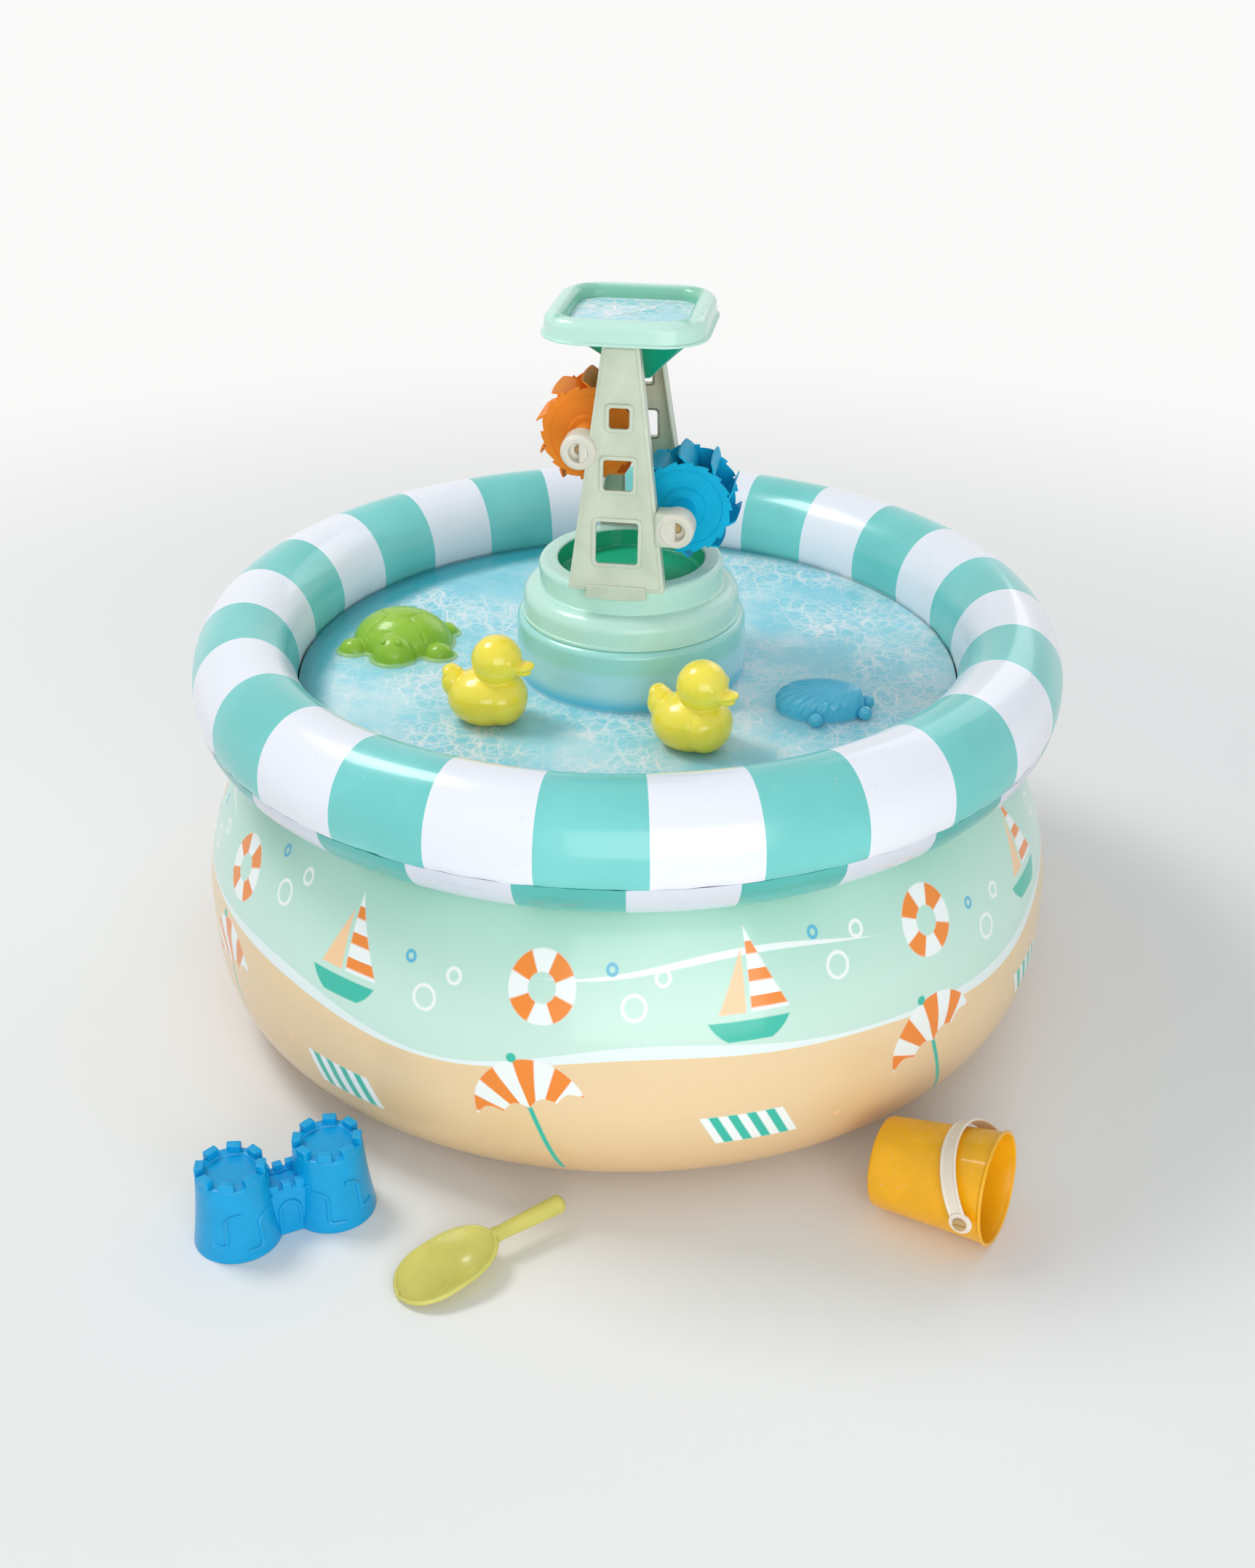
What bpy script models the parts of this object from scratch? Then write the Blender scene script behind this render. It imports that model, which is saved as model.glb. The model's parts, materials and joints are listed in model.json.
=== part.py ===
# Inflatable sand and water table: an air-filled drum with a striped ring round its basin,
# a water-wheel tower on a pedestal in the middle, and the loose sand and bath toys of the set.
# Metres, +Z up, origin at the centre of the drum's underside, front towards -Y.
import bpy
import bmesh
from math import atan2, cos, degrees, hypot, pi, radians, sin, tan
from mathutils import Matrix, Vector

# Shared clearances and film
GAP = 0.0003
FILM = 0.0008
POOL_SIDES = 36
BALL_SIDES = 16
SMALL_BALL_SIDES = 12

# Striped ring round the basin: an elliptic tube of two welded films
RING_RADIUS = 0.4135
RING_HALF_WIDTH = 0.0565
RING_HALF_HEIGHT = 0.066
RING_CENTRE_Z = 0.396
OUTER_SEAM_ANGLE = -17.0
INNER_SEAM_ANGLE = 197.0
WALL_SEAM_ANGLE = 240.0
UPPER_FILM_FACETS = 8
LOWER_FILM_FACETS = 4

# Drum below the ring
DRUM_RADIUS = 0.4746
DRUM_BULGE_Z = 0.1623
BASE_RADIUS = 0.330
WELD_OVERLAP = 0.003
FLAT_RADIUS = 0.230
LOWER_ROUNDNESS = 3.84
UPPER_ROUNDNESS = 1.45
WALL_FACETS = 5
FLOOR_Z = 0.380
AIR_HOLE_RADIUS = 0.060

# Bands inside the drum that hold its floor flat
TIE_COUNT = 6
TIE_WIDTH = 0.120
TIE_MIDDLE_RADIUS = 0.200

# Pedestal that stands in the basin and carries the tower
PEDESTAL_RADIUS = 0.1235
PEDESTAL_SHOULDER_ROUND = 0.008
PEDESTAL_NECK_RADIUS = 0.100

# Air valves with push-in plugs
VALVE_FLANGE_RADIUS = 0.0100
VALVE_FLANGE_THICKNESS = 0.0025
VALVE_STEM_RADIUS = 0.0060
VALVE_STEM_LENGTH = 0.012
VALVE_BORE_RADIUS = 0.0038
PLUG_HEAD_RADIUS = 0.0070
PLUG_HEAD_THICKNESS = 0.0030
PLUG_STEM_LENGTH = 0.009
VALVE_SIDES = 16
RING_VALVE_Z = 0.421
WALL_VALVE_Z = 0.272

# Tower: its place, turn and stepped round base
TOWER_X = 0.004
TOWER_TURN = -9.0
CAP_WALL = 0.003
CAP_FLANGE_RADIUS = 0.1165
CAP_FLANGE_Z = 0.448
CAP_LIP_HEIGHT = 0.0035
CAP_LIP_PROUD = 0.0015
CAP_SHOULDER_Z = 0.4805
CAP_SHOULDER_ROUND = 0.016
DRUM_STEP_RADIUS = 0.0985
DRUM_STEP_TOP_Z = 0.5085
DRUM_STEP_ROUND = 0.006
WELL_RADIUS = 0.078
WELL_DEPTH = 0.022
CAP_SIDES = 28
ROUND_FACETS = 3
SHOULDER_FACETS = 4

# Leaning tower panels, each a moulded channel with windows and axle lugs
PANEL_DEPTH = 0.018
PANEL_WALL = 0.0025
PANEL_FOOT_HALF = 0.050
PANEL_TOP_HALF = 0.0185
PANEL_FOOT_Y = 0.1015
PANEL_TOP_Y = 0.0685
PANEL_WEB = 0.003
PANEL_TAB_HALF = 0.032
PANEL_TAB_DROP = 0.0095
WINDOW_RISES = (0.2046, 0.4837, 0.7139)
WINDOW_HALVES = (0.0215, 0.0152, 0.0102)
WINDOW_FRAME = 0.0045
WINDOW_FRAME_PROUD = 0.0018
LUG_RADIUS = 0.0195
LUG_LENGTH = 0.026
LUG_PROUD = 0.008
LUG_EYE_RADIUS = 0.0090
LUG_EYE_DEPTH = 0.011
LUG_ARM_HALF = 0.012
LUG_SIDES = 24

# Water wheels and their axles. A rise is a share of the panel's height, as for the windows
ORANGE_X = -0.040
ORANGE_RISE = 0.5754
BLUE_RISE = 0.2738
WHEEL_SPACING = 0.0114
WHEEL_HALF_WIDTH = 0.030
WHEEL_DISC_RADIUS = 0.0500
WHEEL_DISC_THICKNESS = 0.0025
WHEEL_TOOTH_DEPTH = 0.0035
WHEEL_TOOTH_COUNT = 18
PADDLE_COUNT = 10
PADDLE_TIP_RADIUS = 0.0565
PADDLE_THICKNESS = 0.0030
PADDLE_SWEEP = 24.0
WHEEL_HUB_RADIUS = 0.020
WHEEL_BOSS_RADIUS = 0.0115
AXLE_RADIUS = 0.0050
AXLE_SIDES = 16

# Tray on top and the hopper below it
TRAY_HALF_X = 0.0820
TRAY_HALF_Y = 0.0825
TRAY_CORNER = 0.045
TRAY_TOP_Z = 0.780
TRAY_DEPTH = 0.023
TRAY_RIM = 0.0205
TRAY_ROUND = 0.006
TRAY_LIP = 0.003
TRAY_WALL = 0.0025
TRAY_HOLE_HALF_X = 0.050
TRAY_HOLE_HALF_Y = 0.034
TRAY_HOLE_CORNER = 0.012
HOPPER_HALF_X = 0.066
HOPPER_X = 0.005
HOPPER_HALF_Y = 0.045
HOPPER_CORNER = 0.014
HOPPER_WALL = 0.002
HOPPER_MOUTH_HALF = 0.009
HOPPER_MOUTH_CORNER = 0.004
HOPPER_MOUTH_X = 0.012
HOPPER_CLEARANCE = 0.0133
CORNER_FACETS = 5

# Bath duck, a hollow squeeze toy with a hole below
DUCK_WALL = 0.003
DUCK_BODY = (0.0415, 0.036, 0.030)
DUCK_BODY_SINK = 0.003
DUCK_HEAD_RADIUS = 0.0262
DUCK_HEAD_X = 0.012
DUCK_HEAD_Z = 0.0700
DUCK_BEAK = (0.0135, 0.011, 0.0055)
DUCK_TAIL = (0.0140, 0.0165, 0.018)
DUCK_VENT_RADIUS = 0.005
DUCK_PLACES = {"duck_left": (-0.145, -0.137, -14.0), "duck_right": (0.064, -0.194, -30.0)}

# Turtle sand mould, open below, with a flat rim
MOULD_WALL = 0.002
MOULD_RIM = 0.0035
MOULD_RIM_THICKNESS = 0.002
TURTLE_X = -0.253
TURTLE_Y = 0.055
TURTLE_TURN = -8.0
TURTLE_SHELL = (0.056, 0.046, 0.040)
TURTLE_HEAD = (0.0245, 0.0245, 0.027)
TURTLE_HEAD_Y = -0.041
TURTLE_FLIPPER = (0.0165, 0.0145, 0.015)
TURTLE_FLIPPER_X = 0.049
TURTLE_FLIPPER_Y = -0.030
TURTLE_FOOT = (0.0135, 0.0125, 0.013)
TURTLE_FOOT_X = 0.043
TURTLE_FOOT_Y = 0.031

# Scallop sand mould, open below
SHELL_X = 0.202
SHELL_Y = -0.114
SHELL_TURN = -12.0
SHELL_LENGTH = 0.096
SHELL_WIDTH = 0.080
SHELL_HEIGHT = 0.030
SHELL_SKIRT = 0.010
SHELL_HINGE = 0.34
SHELL_TAPER = 0.2
SHELL_CROWN = ((0.82, 0.62), (0.5, 0.94), (0.2, 1.0))
SHELL_RIB_COUNT = 11
SHELL_RIB_DEPTH = 0.0022
SHELL_BALL_RADIUS = 0.0075
SHELL_SIDES = 36

# Castle sand mould: two towers and a wall between, open below
CASTLE_X = -0.335
CASTLE_Y = -0.470
CASTLE_TURN = 26.0
CASTLE_SPAN = 0.096
CASTLE_FOOT_RADIUS = 0.0425
CASTLE_TOP_RADIUS = 0.034
CASTLE_HEIGHT = 0.080
CASTLE_SIDES = 24
MERLON_COUNT = 8
MERLON_HEIGHT = 0.0075
MERLON_WIDTH = 0.0125
MERLON_DEPTH = 0.009
CURTAIN_HALF = 0.019
CURTAIN_HEIGHT = 0.052

# Scoop
SCOOP_X = -0.128
SCOOP_Y = -0.523
SCOOP_TURN = 34.0
SCOOP_LENGTH = 0.102
SCOOP_HALF_WIDTH = 0.034
SCOOP_DEPTH = 0.026
SCOOP_WALL = 0.0025
SCOOP_NOSE = 0.35
SCOOP_HEEL = 0.55
SCOOP_BLUNT = 0.55
SCOOP_NECK = 0.28
SCOOP_LIP = 0.3
SCOOP_DISH = 2.4
SCOOP_ROWS = 11
SCOOP_COLUMNS = 9
SCOOP_HANDLE_LENGTH = 0.088
SCOOP_HANDLE_RADIUS = 0.0085
SCOOP_HANDLE_NECK = 0.0068
SCOOP_HANDLE_RISE = 0.004

# Bucket on its side, with a band handle on two slotted pins
BUCKET_X = 0.252
BUCKET_Y = -0.436
BUCKET_HEADING = -28.0
BUCKET_ROLL = -90.0
BUCKET_BASE_RADIUS = 0.045
BUCKET_MOUTH_RADIUS = 0.0545
BUCKET_LENGTH = 0.118
BUCKET_WALL = 0.002
BUCKET_BEAD = 0.0018
BUCKET_SIDES = 32
PIVOT_BELOW_MOUTH = 0.017
PIVOT_BOSS_RADIUS = 0.0065
HANDLE_CLEARANCE = 0.0008
HANDLE_THICKNESS = 0.003
HANDLE_WIDTH = 0.0145
HANDLE_FACETS = 18
PIN_SIDES = 14
PIN_SHANK_RADIUS = 0.0035
PIN_HEAD_RADIUS = 0.0062
PIN_HEAD_THICKNESS = 0.0022
PIN_SLOT_WIDTH = 0.0016
PIN_SLOT_DEPTH = 0.0010

COLOURS = {
    "teal": (0.16, 0.60, 0.52),
    "mint": (0.46, 0.74, 0.59),
    "sand": (0.77, 0.57, 0.32),
    "aqua": (0.42, 0.76, 0.82),
    "blue": (0.02, 0.36, 0.80),
    "cap": (0.39, 0.72, 0.55),
    "green": (0.01, 0.39, 0.21),
    "stone": (0.65, 0.66, 0.54),
    "orange": (0.91, 0.25, 0.02),
    "tan": (0.57, 0.38, 0.16),
    "yellow": (0.97, 0.78, 0.06),
    "lime": (0.33, 0.60, 0.04),
    "sky": (0.07, 0.53, 0.71),
    "straw": (0.67, 0.62, 0.15),
    "amber": (0.94, 0.47, 0.01),
    "cream": (0.90, 0.79, 0.67),
    "clear": (0.85, 0.88, 0.88),
}

for old in list(bpy.data.objects):
    bpy.data.objects.remove(old, do_unlink=True)
parts = bpy.data.collections.new("sand_and_water_table")
bpy.context.scene.collection.children.link(parts)
UPRIGHT = Matrix.Rotation(pi / 2, 4, "X")


def material(colour):
    made = bpy.data.materials.get(colour)
    if made is None:
        made = bpy.data.materials.new(colour)
        made.use_nodes = True
        shader = made.node_tree.nodes["Principled BSDF"]
        shader.inputs["Base Color"].default_value = (*COLOURS[colour], 1.0)
        shader.inputs["Roughness"].default_value = 0.35
    return made


def link(mesh, name="helper"):
    made = bpy.data.objects.new(name, mesh)
    parts.objects.link(made)
    return made


def evaluated_mesh(obj):
    """The object's mesh with its modifiers applied, and the object gone."""
    bpy.context.view_layer.update()
    graph = bpy.context.evaluated_depsgraph_get()
    mesh = bpy.data.meshes.new_from_object(obj.evaluated_get(graph))
    bpy.data.objects.remove(obj, do_unlink=True)
    return mesh


def welded(mesh):
    shape = bmesh.new()
    shape.from_mesh(mesh)
    bmesh.ops.remove_doubles(shape, verts=shape.verts, dist=1e-6)
    bmesh.ops.recalc_face_normals(shape, faces=shape.faces)
    shape.to_mesh(mesh)
    shape.free()
    return mesh


def part(name, mesh, colour, parent=None, place=None, sharp=35.0):
    """Makes a mesh a named piece of the object."""
    mesh.name = name
    mesh.materials.clear()
    mesh.materials.append(material(colour))
    mesh.shade_smooth()
    mesh.set_sharp_from_angle(angle=radians(sharp))
    made = link(mesh, name)
    made.parent = parent
    if place is not None:
        made.matrix_local = place
    return made


def turned(profile, sides, closed=True):
    """A closed section, or one that starts and ends on the axis, turned round Z."""
    area = sum(a[0] * b[1] - b[0] * a[1] for a, b in zip(profile, profile[1:] + profile[:1]))
    points = profile if area < 0 else profile[::-1]
    edges = [(i, i + 1) for i in range(len(points) - 1)]
    if closed:
        edges.append((len(points) - 1, 0))
    mesh = bpy.data.meshes.new("turned")
    mesh.from_pydata([(r, 0, z) for r, z in points], edges, [])
    obj = link(mesh)
    screw = obj.modifiers.new("Screw", "SCREW")
    screw.steps = screw.render_steps = sides
    screw.use_merge_vertices = True
    screw.merge_threshold = 0.00001
    return welded(evaluated_mesh(obj))


def flat(outlines, thickness, place=UPRIGHT):
    """A flat outline with any holes, thickened evenly about its plane."""
    curve = bpy.data.curves.new("outline", "CURVE")
    curve.dimensions = "2D"
    curve.fill_mode = "BOTH"
    curve.extrude = thickness / 2
    for outline in outlines:
        spline = curve.splines.new("POLY")
        spline.points.add(len(outline) - 1)
        for point, (x, y) in zip(spline.points, outline):
            point.co = (x, y, 0, 1)
        spline.use_cyclic_u = True
    mesh = welded(evaluated_mesh(link(curve)))
    mesh.transform(place)
    return mesh


def primitive(make, place, **sizes):
    shape = bmesh.new()
    make(shape, **sizes)
    mesh = bpy.data.meshes.new("primitive")
    shape.to_mesh(mesh)
    shape.free()
    mesh.transform(place)
    return mesh


def rod(radius, length, sides, place):
    """A cylinder along its own Z, centred."""
    return primitive(bmesh.ops.create_cone, place, cap_ends=True, segments=sides,
                     radius1=radius, radius2=radius, depth=length)


def cone(foot, top, height, sides, place):
    """A frustum that stands on its own XY plane."""
    return primitive(bmesh.ops.create_cone, place @ Matrix.Translation((0, 0, height / 2)),
                     cap_ends=True, segments=sides, radius1=foot, radius2=top, depth=height)


def box(low, high, place=Matrix()):
    middle = [(a + b) / 2 for a, b in zip(low, high)]
    size = Matrix.Diagonal([b - a for a, b in zip(low, high)] + [1])
    return primitive(bmesh.ops.create_cube, place @ Matrix.Translation(middle) @ size, size=1)


def ball(centre, radii, sides=BALL_SIDES):
    """An ellipsoid."""
    shaped = Matrix.Translation(centre) @ Matrix.Diagonal((*radii, 1))
    return primitive(bmesh.ops.create_uvsphere, shaped, u_segments=sides, v_segments=sides // 2, radius=1)


def combine(mesh, tool, operation, solver):
    target = link(mesh)
    other = link(tool)
    boolean = target.modifiers.new("Boolean", "BOOLEAN")
    boolean.operation = operation
    boolean.solver = solver
    boolean.object = other
    made = evaluated_mesh(target)
    bpy.data.objects.remove(other, do_unlink=True)
    return made


def joined(*meshes, solver="EXACT"):
    made = meshes[0]
    for tool in meshes[1:]:
        made = combine(made, tool, "UNION", solver)
    return made


def cut(mesh, *tools, solver="EXACT"):
    for tool in tools:
        mesh = combine(mesh, tool, "DIFFERENCE", solver)
    return mesh


def loft(loops, ring=False):
    """A skin over loops of equal count: closed end to end when ring is set, and capped otherwise."""
    shape = bmesh.new()
    rows = [[shape.verts.new(point) for point in loop] for loop in loops]
    pairs = list(zip(rows, rows[1:]))
    if ring:
        pairs.append((rows[-1], rows[0]))
    for low, high in pairs:
        for i in range(len(low)):
            j = (i + 1) % len(low)
            shape.faces.new((low[i], low[j], high[j], high[i]))
    if not ring:
        shape.faces.new(rows[0])
        shape.faces.new(rows[-1])
    bmesh.ops.recalc_face_normals(shape, faces=shape.faces)
    mesh = bpy.data.meshes.new("loft")
    shape.to_mesh(mesh)
    shape.free()
    return mesh


def film_section(points):
    """A film's closed section: its outer line and the same line a film thickness inside it."""
    inner = []
    for i, point in enumerate(points):
        before = Vector(points[max(i - 1, 0)])
        after = Vector(points[min(i + 1, len(points) - 1)])
        along = (after - before).normalized()
        inner.append((point[0] - along.y * FILM, point[1] + along.x * FILM))
    return points + inner[::-1]


def ring_point(angle):
    turn = radians(angle)
    return (RING_RADIUS + RING_HALF_WIDTH * cos(turn), RING_CENTRE_Z + RING_HALF_HEIGHT * sin(turn))


def across(line, place, axis):
    """Where a line of radii and heights crosses a radius (axis 0) or a height (axis 1)."""
    for a, b in zip(line, line[1:]):
        if min(a[axis], b[axis]) <= place <= max(a[axis], b[axis]):
            share = (place - a[axis]) / (b[axis] - a[axis])
            found = a[1 - axis] + (b[1 - axis] - a[1 - axis]) * share
    return found


def spaced(first, last, count):
    return [first + (last - first) * i / count for i in range(count + 1)]


def rounded_box(half_x, half_y, corner, z, centre_x=0.0):
    """A loop of points round a rectangle with rounded corners."""
    loop = []
    for quarter, (sx, sy) in enumerate(((1, 1), (-1, 1), (-1, -1), (1, -1))):
        for step in range(CORNER_FACETS + 1):
            turn = pi / 2 * (quarter + step / CORNER_FACETS)
            loop.append((centre_x + sx * (half_x - corner) + corner * cos(turn),
                         sy * (half_y - corner) + corner * sin(turn), z))
    return loop


# Ring: the upper film runs over the top from the outer seam to the inner one
upper_line = [ring_point(a) for a in spaced(OUTER_SEAM_ANGLE, INNER_SEAM_ANGLE, UPPER_FILM_FACETS)]
lower_line = [ring_point(a) for a in spaced(INNER_SEAM_ANGLE, 360 + OUTER_SEAM_ANGLE, LOWER_FILM_FACETS)]
for end in (0, -1):
    lower_line[end] = (lower_line[end][0], lower_line[end][1] - 2 * GAP)
upper_film = turned(film_section(upper_line), POOL_SIDES)
part("ring_lower_film", turned(film_section(lower_line), POOL_SIDES), "teal")


def asin_power(share, roundness):
    """The angle whose sine, to the power that a superellipse uses, is this share."""
    sine = share ** (roundness / 2)
    return atan2(sine, (1 - sine * sine) ** 0.5)


# Drum wall: a flat-bottomed bulge that tucks in under the ring
def wall_line():
    points = []
    start = (BASE_RADIUS - FLAT_RADIUS) / (DRUM_RADIUS - FLAT_RADIUS)
    first = asin_power(start, LOWER_ROUNDNESS)
    for turn in spaced(first, pi / 2, WALL_FACETS):
        points.append((FLAT_RADIUS + (DRUM_RADIUS - FLAT_RADIUS) * sin(turn) ** (2 / LOWER_ROUNDNESS),
                       DRUM_BULGE_Z * (1 - max(cos(turn), 0) ** (2 / LOWER_ROUNDNESS))))
    seam_r = ring_point(WALL_SEAM_ANGLE)[0]
    seam_z = across(lower_line, seam_r, 0) - GAP
    for turn in spaced(0, pi / 2, WALL_FACETS)[1:]:
        points.append((seam_r + (DRUM_RADIUS - seam_r) * max(cos(turn), 0) ** (2 / UPPER_ROUNDNESS),
                       DRUM_BULGE_Z + (seam_z - DRUM_BULGE_Z) * sin(turn) ** (2 / UPPER_ROUNDNESS)))
    return points


drum_line = wall_line()
drum_film = turned(film_section(drum_line), POOL_SIDES)

base_edge = BASE_RADIUS + WELD_OVERLAP
base_line = [(0, FILM), (base_edge, FILM), (base_edge, 0), (0, 0)]
part("base_sheet", turned(base_line, POOL_SIDES, False), "sand")

floor_edge = across(upper_line, FLOOR_Z, 1) - GAP
part("basin_floor", turned([(AIR_HOLE_RADIUS, FLOOR_Z), (floor_edge, FLOOR_Z), (floor_edge, FLOOR_Z - FILM),
                            (AIR_HOLE_RADIUS, FLOOR_Z - FILM)], POOL_SIDES), "aqua")

for number in range(TIE_COUNT):
    band = box((TIE_MIDDLE_RADIUS - TIE_WIDTH / 2, -FILM / 2, FILM + GAP),
               (TIE_MIDDLE_RADIUS + TIE_WIDTH / 2, FILM / 2, FLOOR_Z - FILM - GAP))
    bearing = Matrix.Rotation(2 * pi * number / TIE_COUNT, 4, "Z")
    part(f"floor_tie_{number + 1}", band, "clear", place=bearing)

# Pedestal: a round stub whose neck fills the base cap from below
shoulder_z = CAP_FLANGE_Z - GAP
well_floor_z = DRUM_STEP_TOP_Z - WELL_DEPTH
neck_top_z = well_floor_z - CAP_WALL - GAP
pedestal_line = [(PEDESTAL_RADIUS, FLOOR_Z + GAP)]
for turn in spaced(0, pi / 2, ROUND_FACETS):
    pedestal_line.append((PEDESTAL_RADIUS - PEDESTAL_SHOULDER_ROUND * (1 - cos(turn)),
                          shoulder_z - PEDESTAL_SHOULDER_ROUND * (1 - sin(turn))))
neck_step_z = CAP_SHOULDER_Z - CAP_WALL - GAP
neck_edge = DRUM_STEP_RADIUS - CAP_WALL - GAP
pedestal_line += [(PEDESTAL_NECK_RADIUS, shoulder_z), (PEDESTAL_NECK_RADIUS, neck_step_z),
                  (neck_edge, neck_step_z), (neck_edge - CAP_WALL, neck_top_z), (0, neck_top_z)]
section = film_section(pedestal_line)
half = len(pedestal_line)
tower = bpy.data.objects.new("tower_frame", None)
parts.objects.link(tower)
tower.location.x = TOWER_X
tower.rotation_euler.z = radians(TOWER_TURN)
part("pedestal", turned(section[half:] + section[:half], CAP_SIDES, False), "aqua", tower)


# Valves: a flange on the film, a stem through it, and a plug pressed into the bore
def valve(film, line, height, names, film_name, colour):
    facet = [a[1] <= height < b[1] for a, b in zip(line, line[1:])].index(True)
    middle = Vector(line[facet]).lerp(Vector(line[facet + 1]), 0.5)
    along = (Vector(line[facet + 1]) - Vector(line[facet])).normalized()
    bearing = pi / 2 + pi / POOL_SIDES
    reach = middle.x * cos(pi / POOL_SIDES)
    seat = Vector((reach * cos(bearing), reach * sin(bearing), middle.y))
    normal = Vector((along.y * cos(bearing), along.y * sin(bearing), -along.x))
    place = Matrix.Translation(seat) @ normal.to_track_quat("Z", "Y").to_matrix().to_4x4()
    hole = rod(VALVE_STEM_RADIUS + GAP, 2 * VALVE_STEM_LENGTH, VALVE_SIDES, place)
    part(film_name, cut(film, hole), colour)
    top = GAP + VALVE_FLANGE_THICKNESS
    body = turned([(VALVE_BORE_RADIUS, top), (VALVE_FLANGE_RADIUS, top), (VALVE_FLANGE_RADIUS, GAP),
                   (VALVE_STEM_RADIUS, GAP), (VALVE_STEM_RADIUS, -VALVE_STEM_LENGTH),
                   (VALVE_BORE_RADIUS, -VALVE_STEM_LENGTH)], VALVE_SIDES)
    part(names[0], body, "clear", place=place)
    stem = VALVE_BORE_RADIUS - GAP
    head = top + GAP + PLUG_HEAD_THICKNESS
    plug = turned([(0, head), (PLUG_HEAD_RADIUS, head), (PLUG_HEAD_RADIUS, top + GAP), (stem, top + GAP),
                   (stem, top - PLUG_STEM_LENGTH), (0, top - PLUG_STEM_LENGTH)], VALVE_SIDES, False)
    part(names[1], plug, "clear", place=place)
    print(film_name, "valve axis", [round(v, 4) for v in normal], "at", [round(v, 4) for v in seat])


valve(upper_film, upper_line, RING_VALVE_Z, ("ring_valve", "ring_plug"), "ring_upper_film", "teal")
valve(drum_film, drum_line, WALL_VALVE_Z, ("wall_valve", "wall_plug"), "side_wall", "mint")

# Base cap: flange, rounded shoulder, drum step and a round well in its top
lip = CAP_FLANGE_RADIUS + CAP_LIP_PROUD
cap_line = [(0, well_floor_z), (WELL_RADIUS, well_floor_z), (WELL_RADIUS, DRUM_STEP_TOP_Z)]
for turn in spaced(pi / 2, 0, ROUND_FACETS):
    cap_line.append((DRUM_STEP_RADIUS - DRUM_STEP_ROUND * (1 - cos(turn)),
                     DRUM_STEP_TOP_Z - DRUM_STEP_ROUND * (1 - sin(turn))))
cap_line.append((DRUM_STEP_RADIUS, CAP_SHOULDER_Z))
for turn in spaced(pi / 2, 0, SHOULDER_FACETS):
    cap_line.append((CAP_FLANGE_RADIUS - CAP_SHOULDER_ROUND * (1 - cos(turn)),
                     CAP_SHOULDER_Z - CAP_SHOULDER_ROUND * (1 - sin(turn))))
cap_line += [(CAP_FLANGE_RADIUS, CAP_FLANGE_Z + CAP_LIP_HEIGHT), (lip, CAP_FLANGE_Z + CAP_LIP_HEIGHT),
             (lip, CAP_FLANGE_Z), (CAP_FLANGE_RADIUS - CAP_WALL, CAP_FLANGE_Z)]
inner_shoulder = CAP_SHOULDER_ROUND - CAP_WALL
for turn in spaced(0, pi / 2, SHOULDER_FACETS):
    cap_line.append((CAP_FLANGE_RADIUS - CAP_WALL - inner_shoulder * (1 - cos(turn)),
                     CAP_SHOULDER_Z - CAP_WALL - inner_shoulder * (1 - sin(turn))))
cap_line += [(DRUM_STEP_RADIUS - CAP_WALL, CAP_SHOULDER_Z - CAP_WALL),
             (DRUM_STEP_RADIUS - CAP_WALL, DRUM_STEP_TOP_Z - CAP_WALL),
             (WELL_RADIUS + CAP_WALL, DRUM_STEP_TOP_Z - CAP_WALL),
             (WELL_RADIUS + CAP_WALL, well_floor_z - CAP_WALL), (0, well_floor_z - CAP_WALL)]
part("base_cap", turned(cap_line, CAP_SIDES, False), "cap", tower)

# Panels
tray_floor_z = TRAY_TOP_Z - TRAY_DEPTH
panel_foot_z = DRUM_STEP_TOP_Z + GAP
panel_top_z = tray_floor_z - TRAY_WALL - GAP
panel_rise = panel_top_z - panel_foot_z
panel_lean = atan2(PANEL_FOOT_Y - PANEL_TOP_Y, panel_rise)
orange_axis = (ORANGE_X, panel_foot_z + ORANGE_RISE * panel_rise)
blue_z = panel_foot_z + BLUE_RISE * panel_rise
wheel_reach = 2 * PADDLE_TIP_RADIUS + WHEEL_SPACING
blue_axis = (ORANGE_X + (wheel_reach ** 2 - (orange_axis[1] - blue_z) ** 2) ** 0.5, blue_z)
windows = [(panel_foot_z + rise * panel_rise, half) for rise, half in zip(WINDOW_RISES, WINDOW_HALVES)]


def panel_y(z):
    """How far the panel's outer face stands from the tower's middle at this height."""
    return PANEL_FOOT_Y - (z - panel_foot_z) * tan(panel_lean)


def panel_half(z):
    return PANEL_FOOT_HALF + (PANEL_TOP_HALF - PANEL_FOOT_HALF) * (z - panel_foot_z) / panel_rise


def leaning_block(inset, foot_z, top_z, front, back):
    """A block between two heights that leans and tapers as the panel does."""
    loops = []
    for z in (foot_z, top_z):
        side = panel_half(z) - inset
        loops.append([(-side, front - panel_y(z), z), (side, front - panel_y(z), z),
                      (side, back - panel_y(z), z), (-side, back - panel_y(z), z)])
    return loft(loops)


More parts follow.
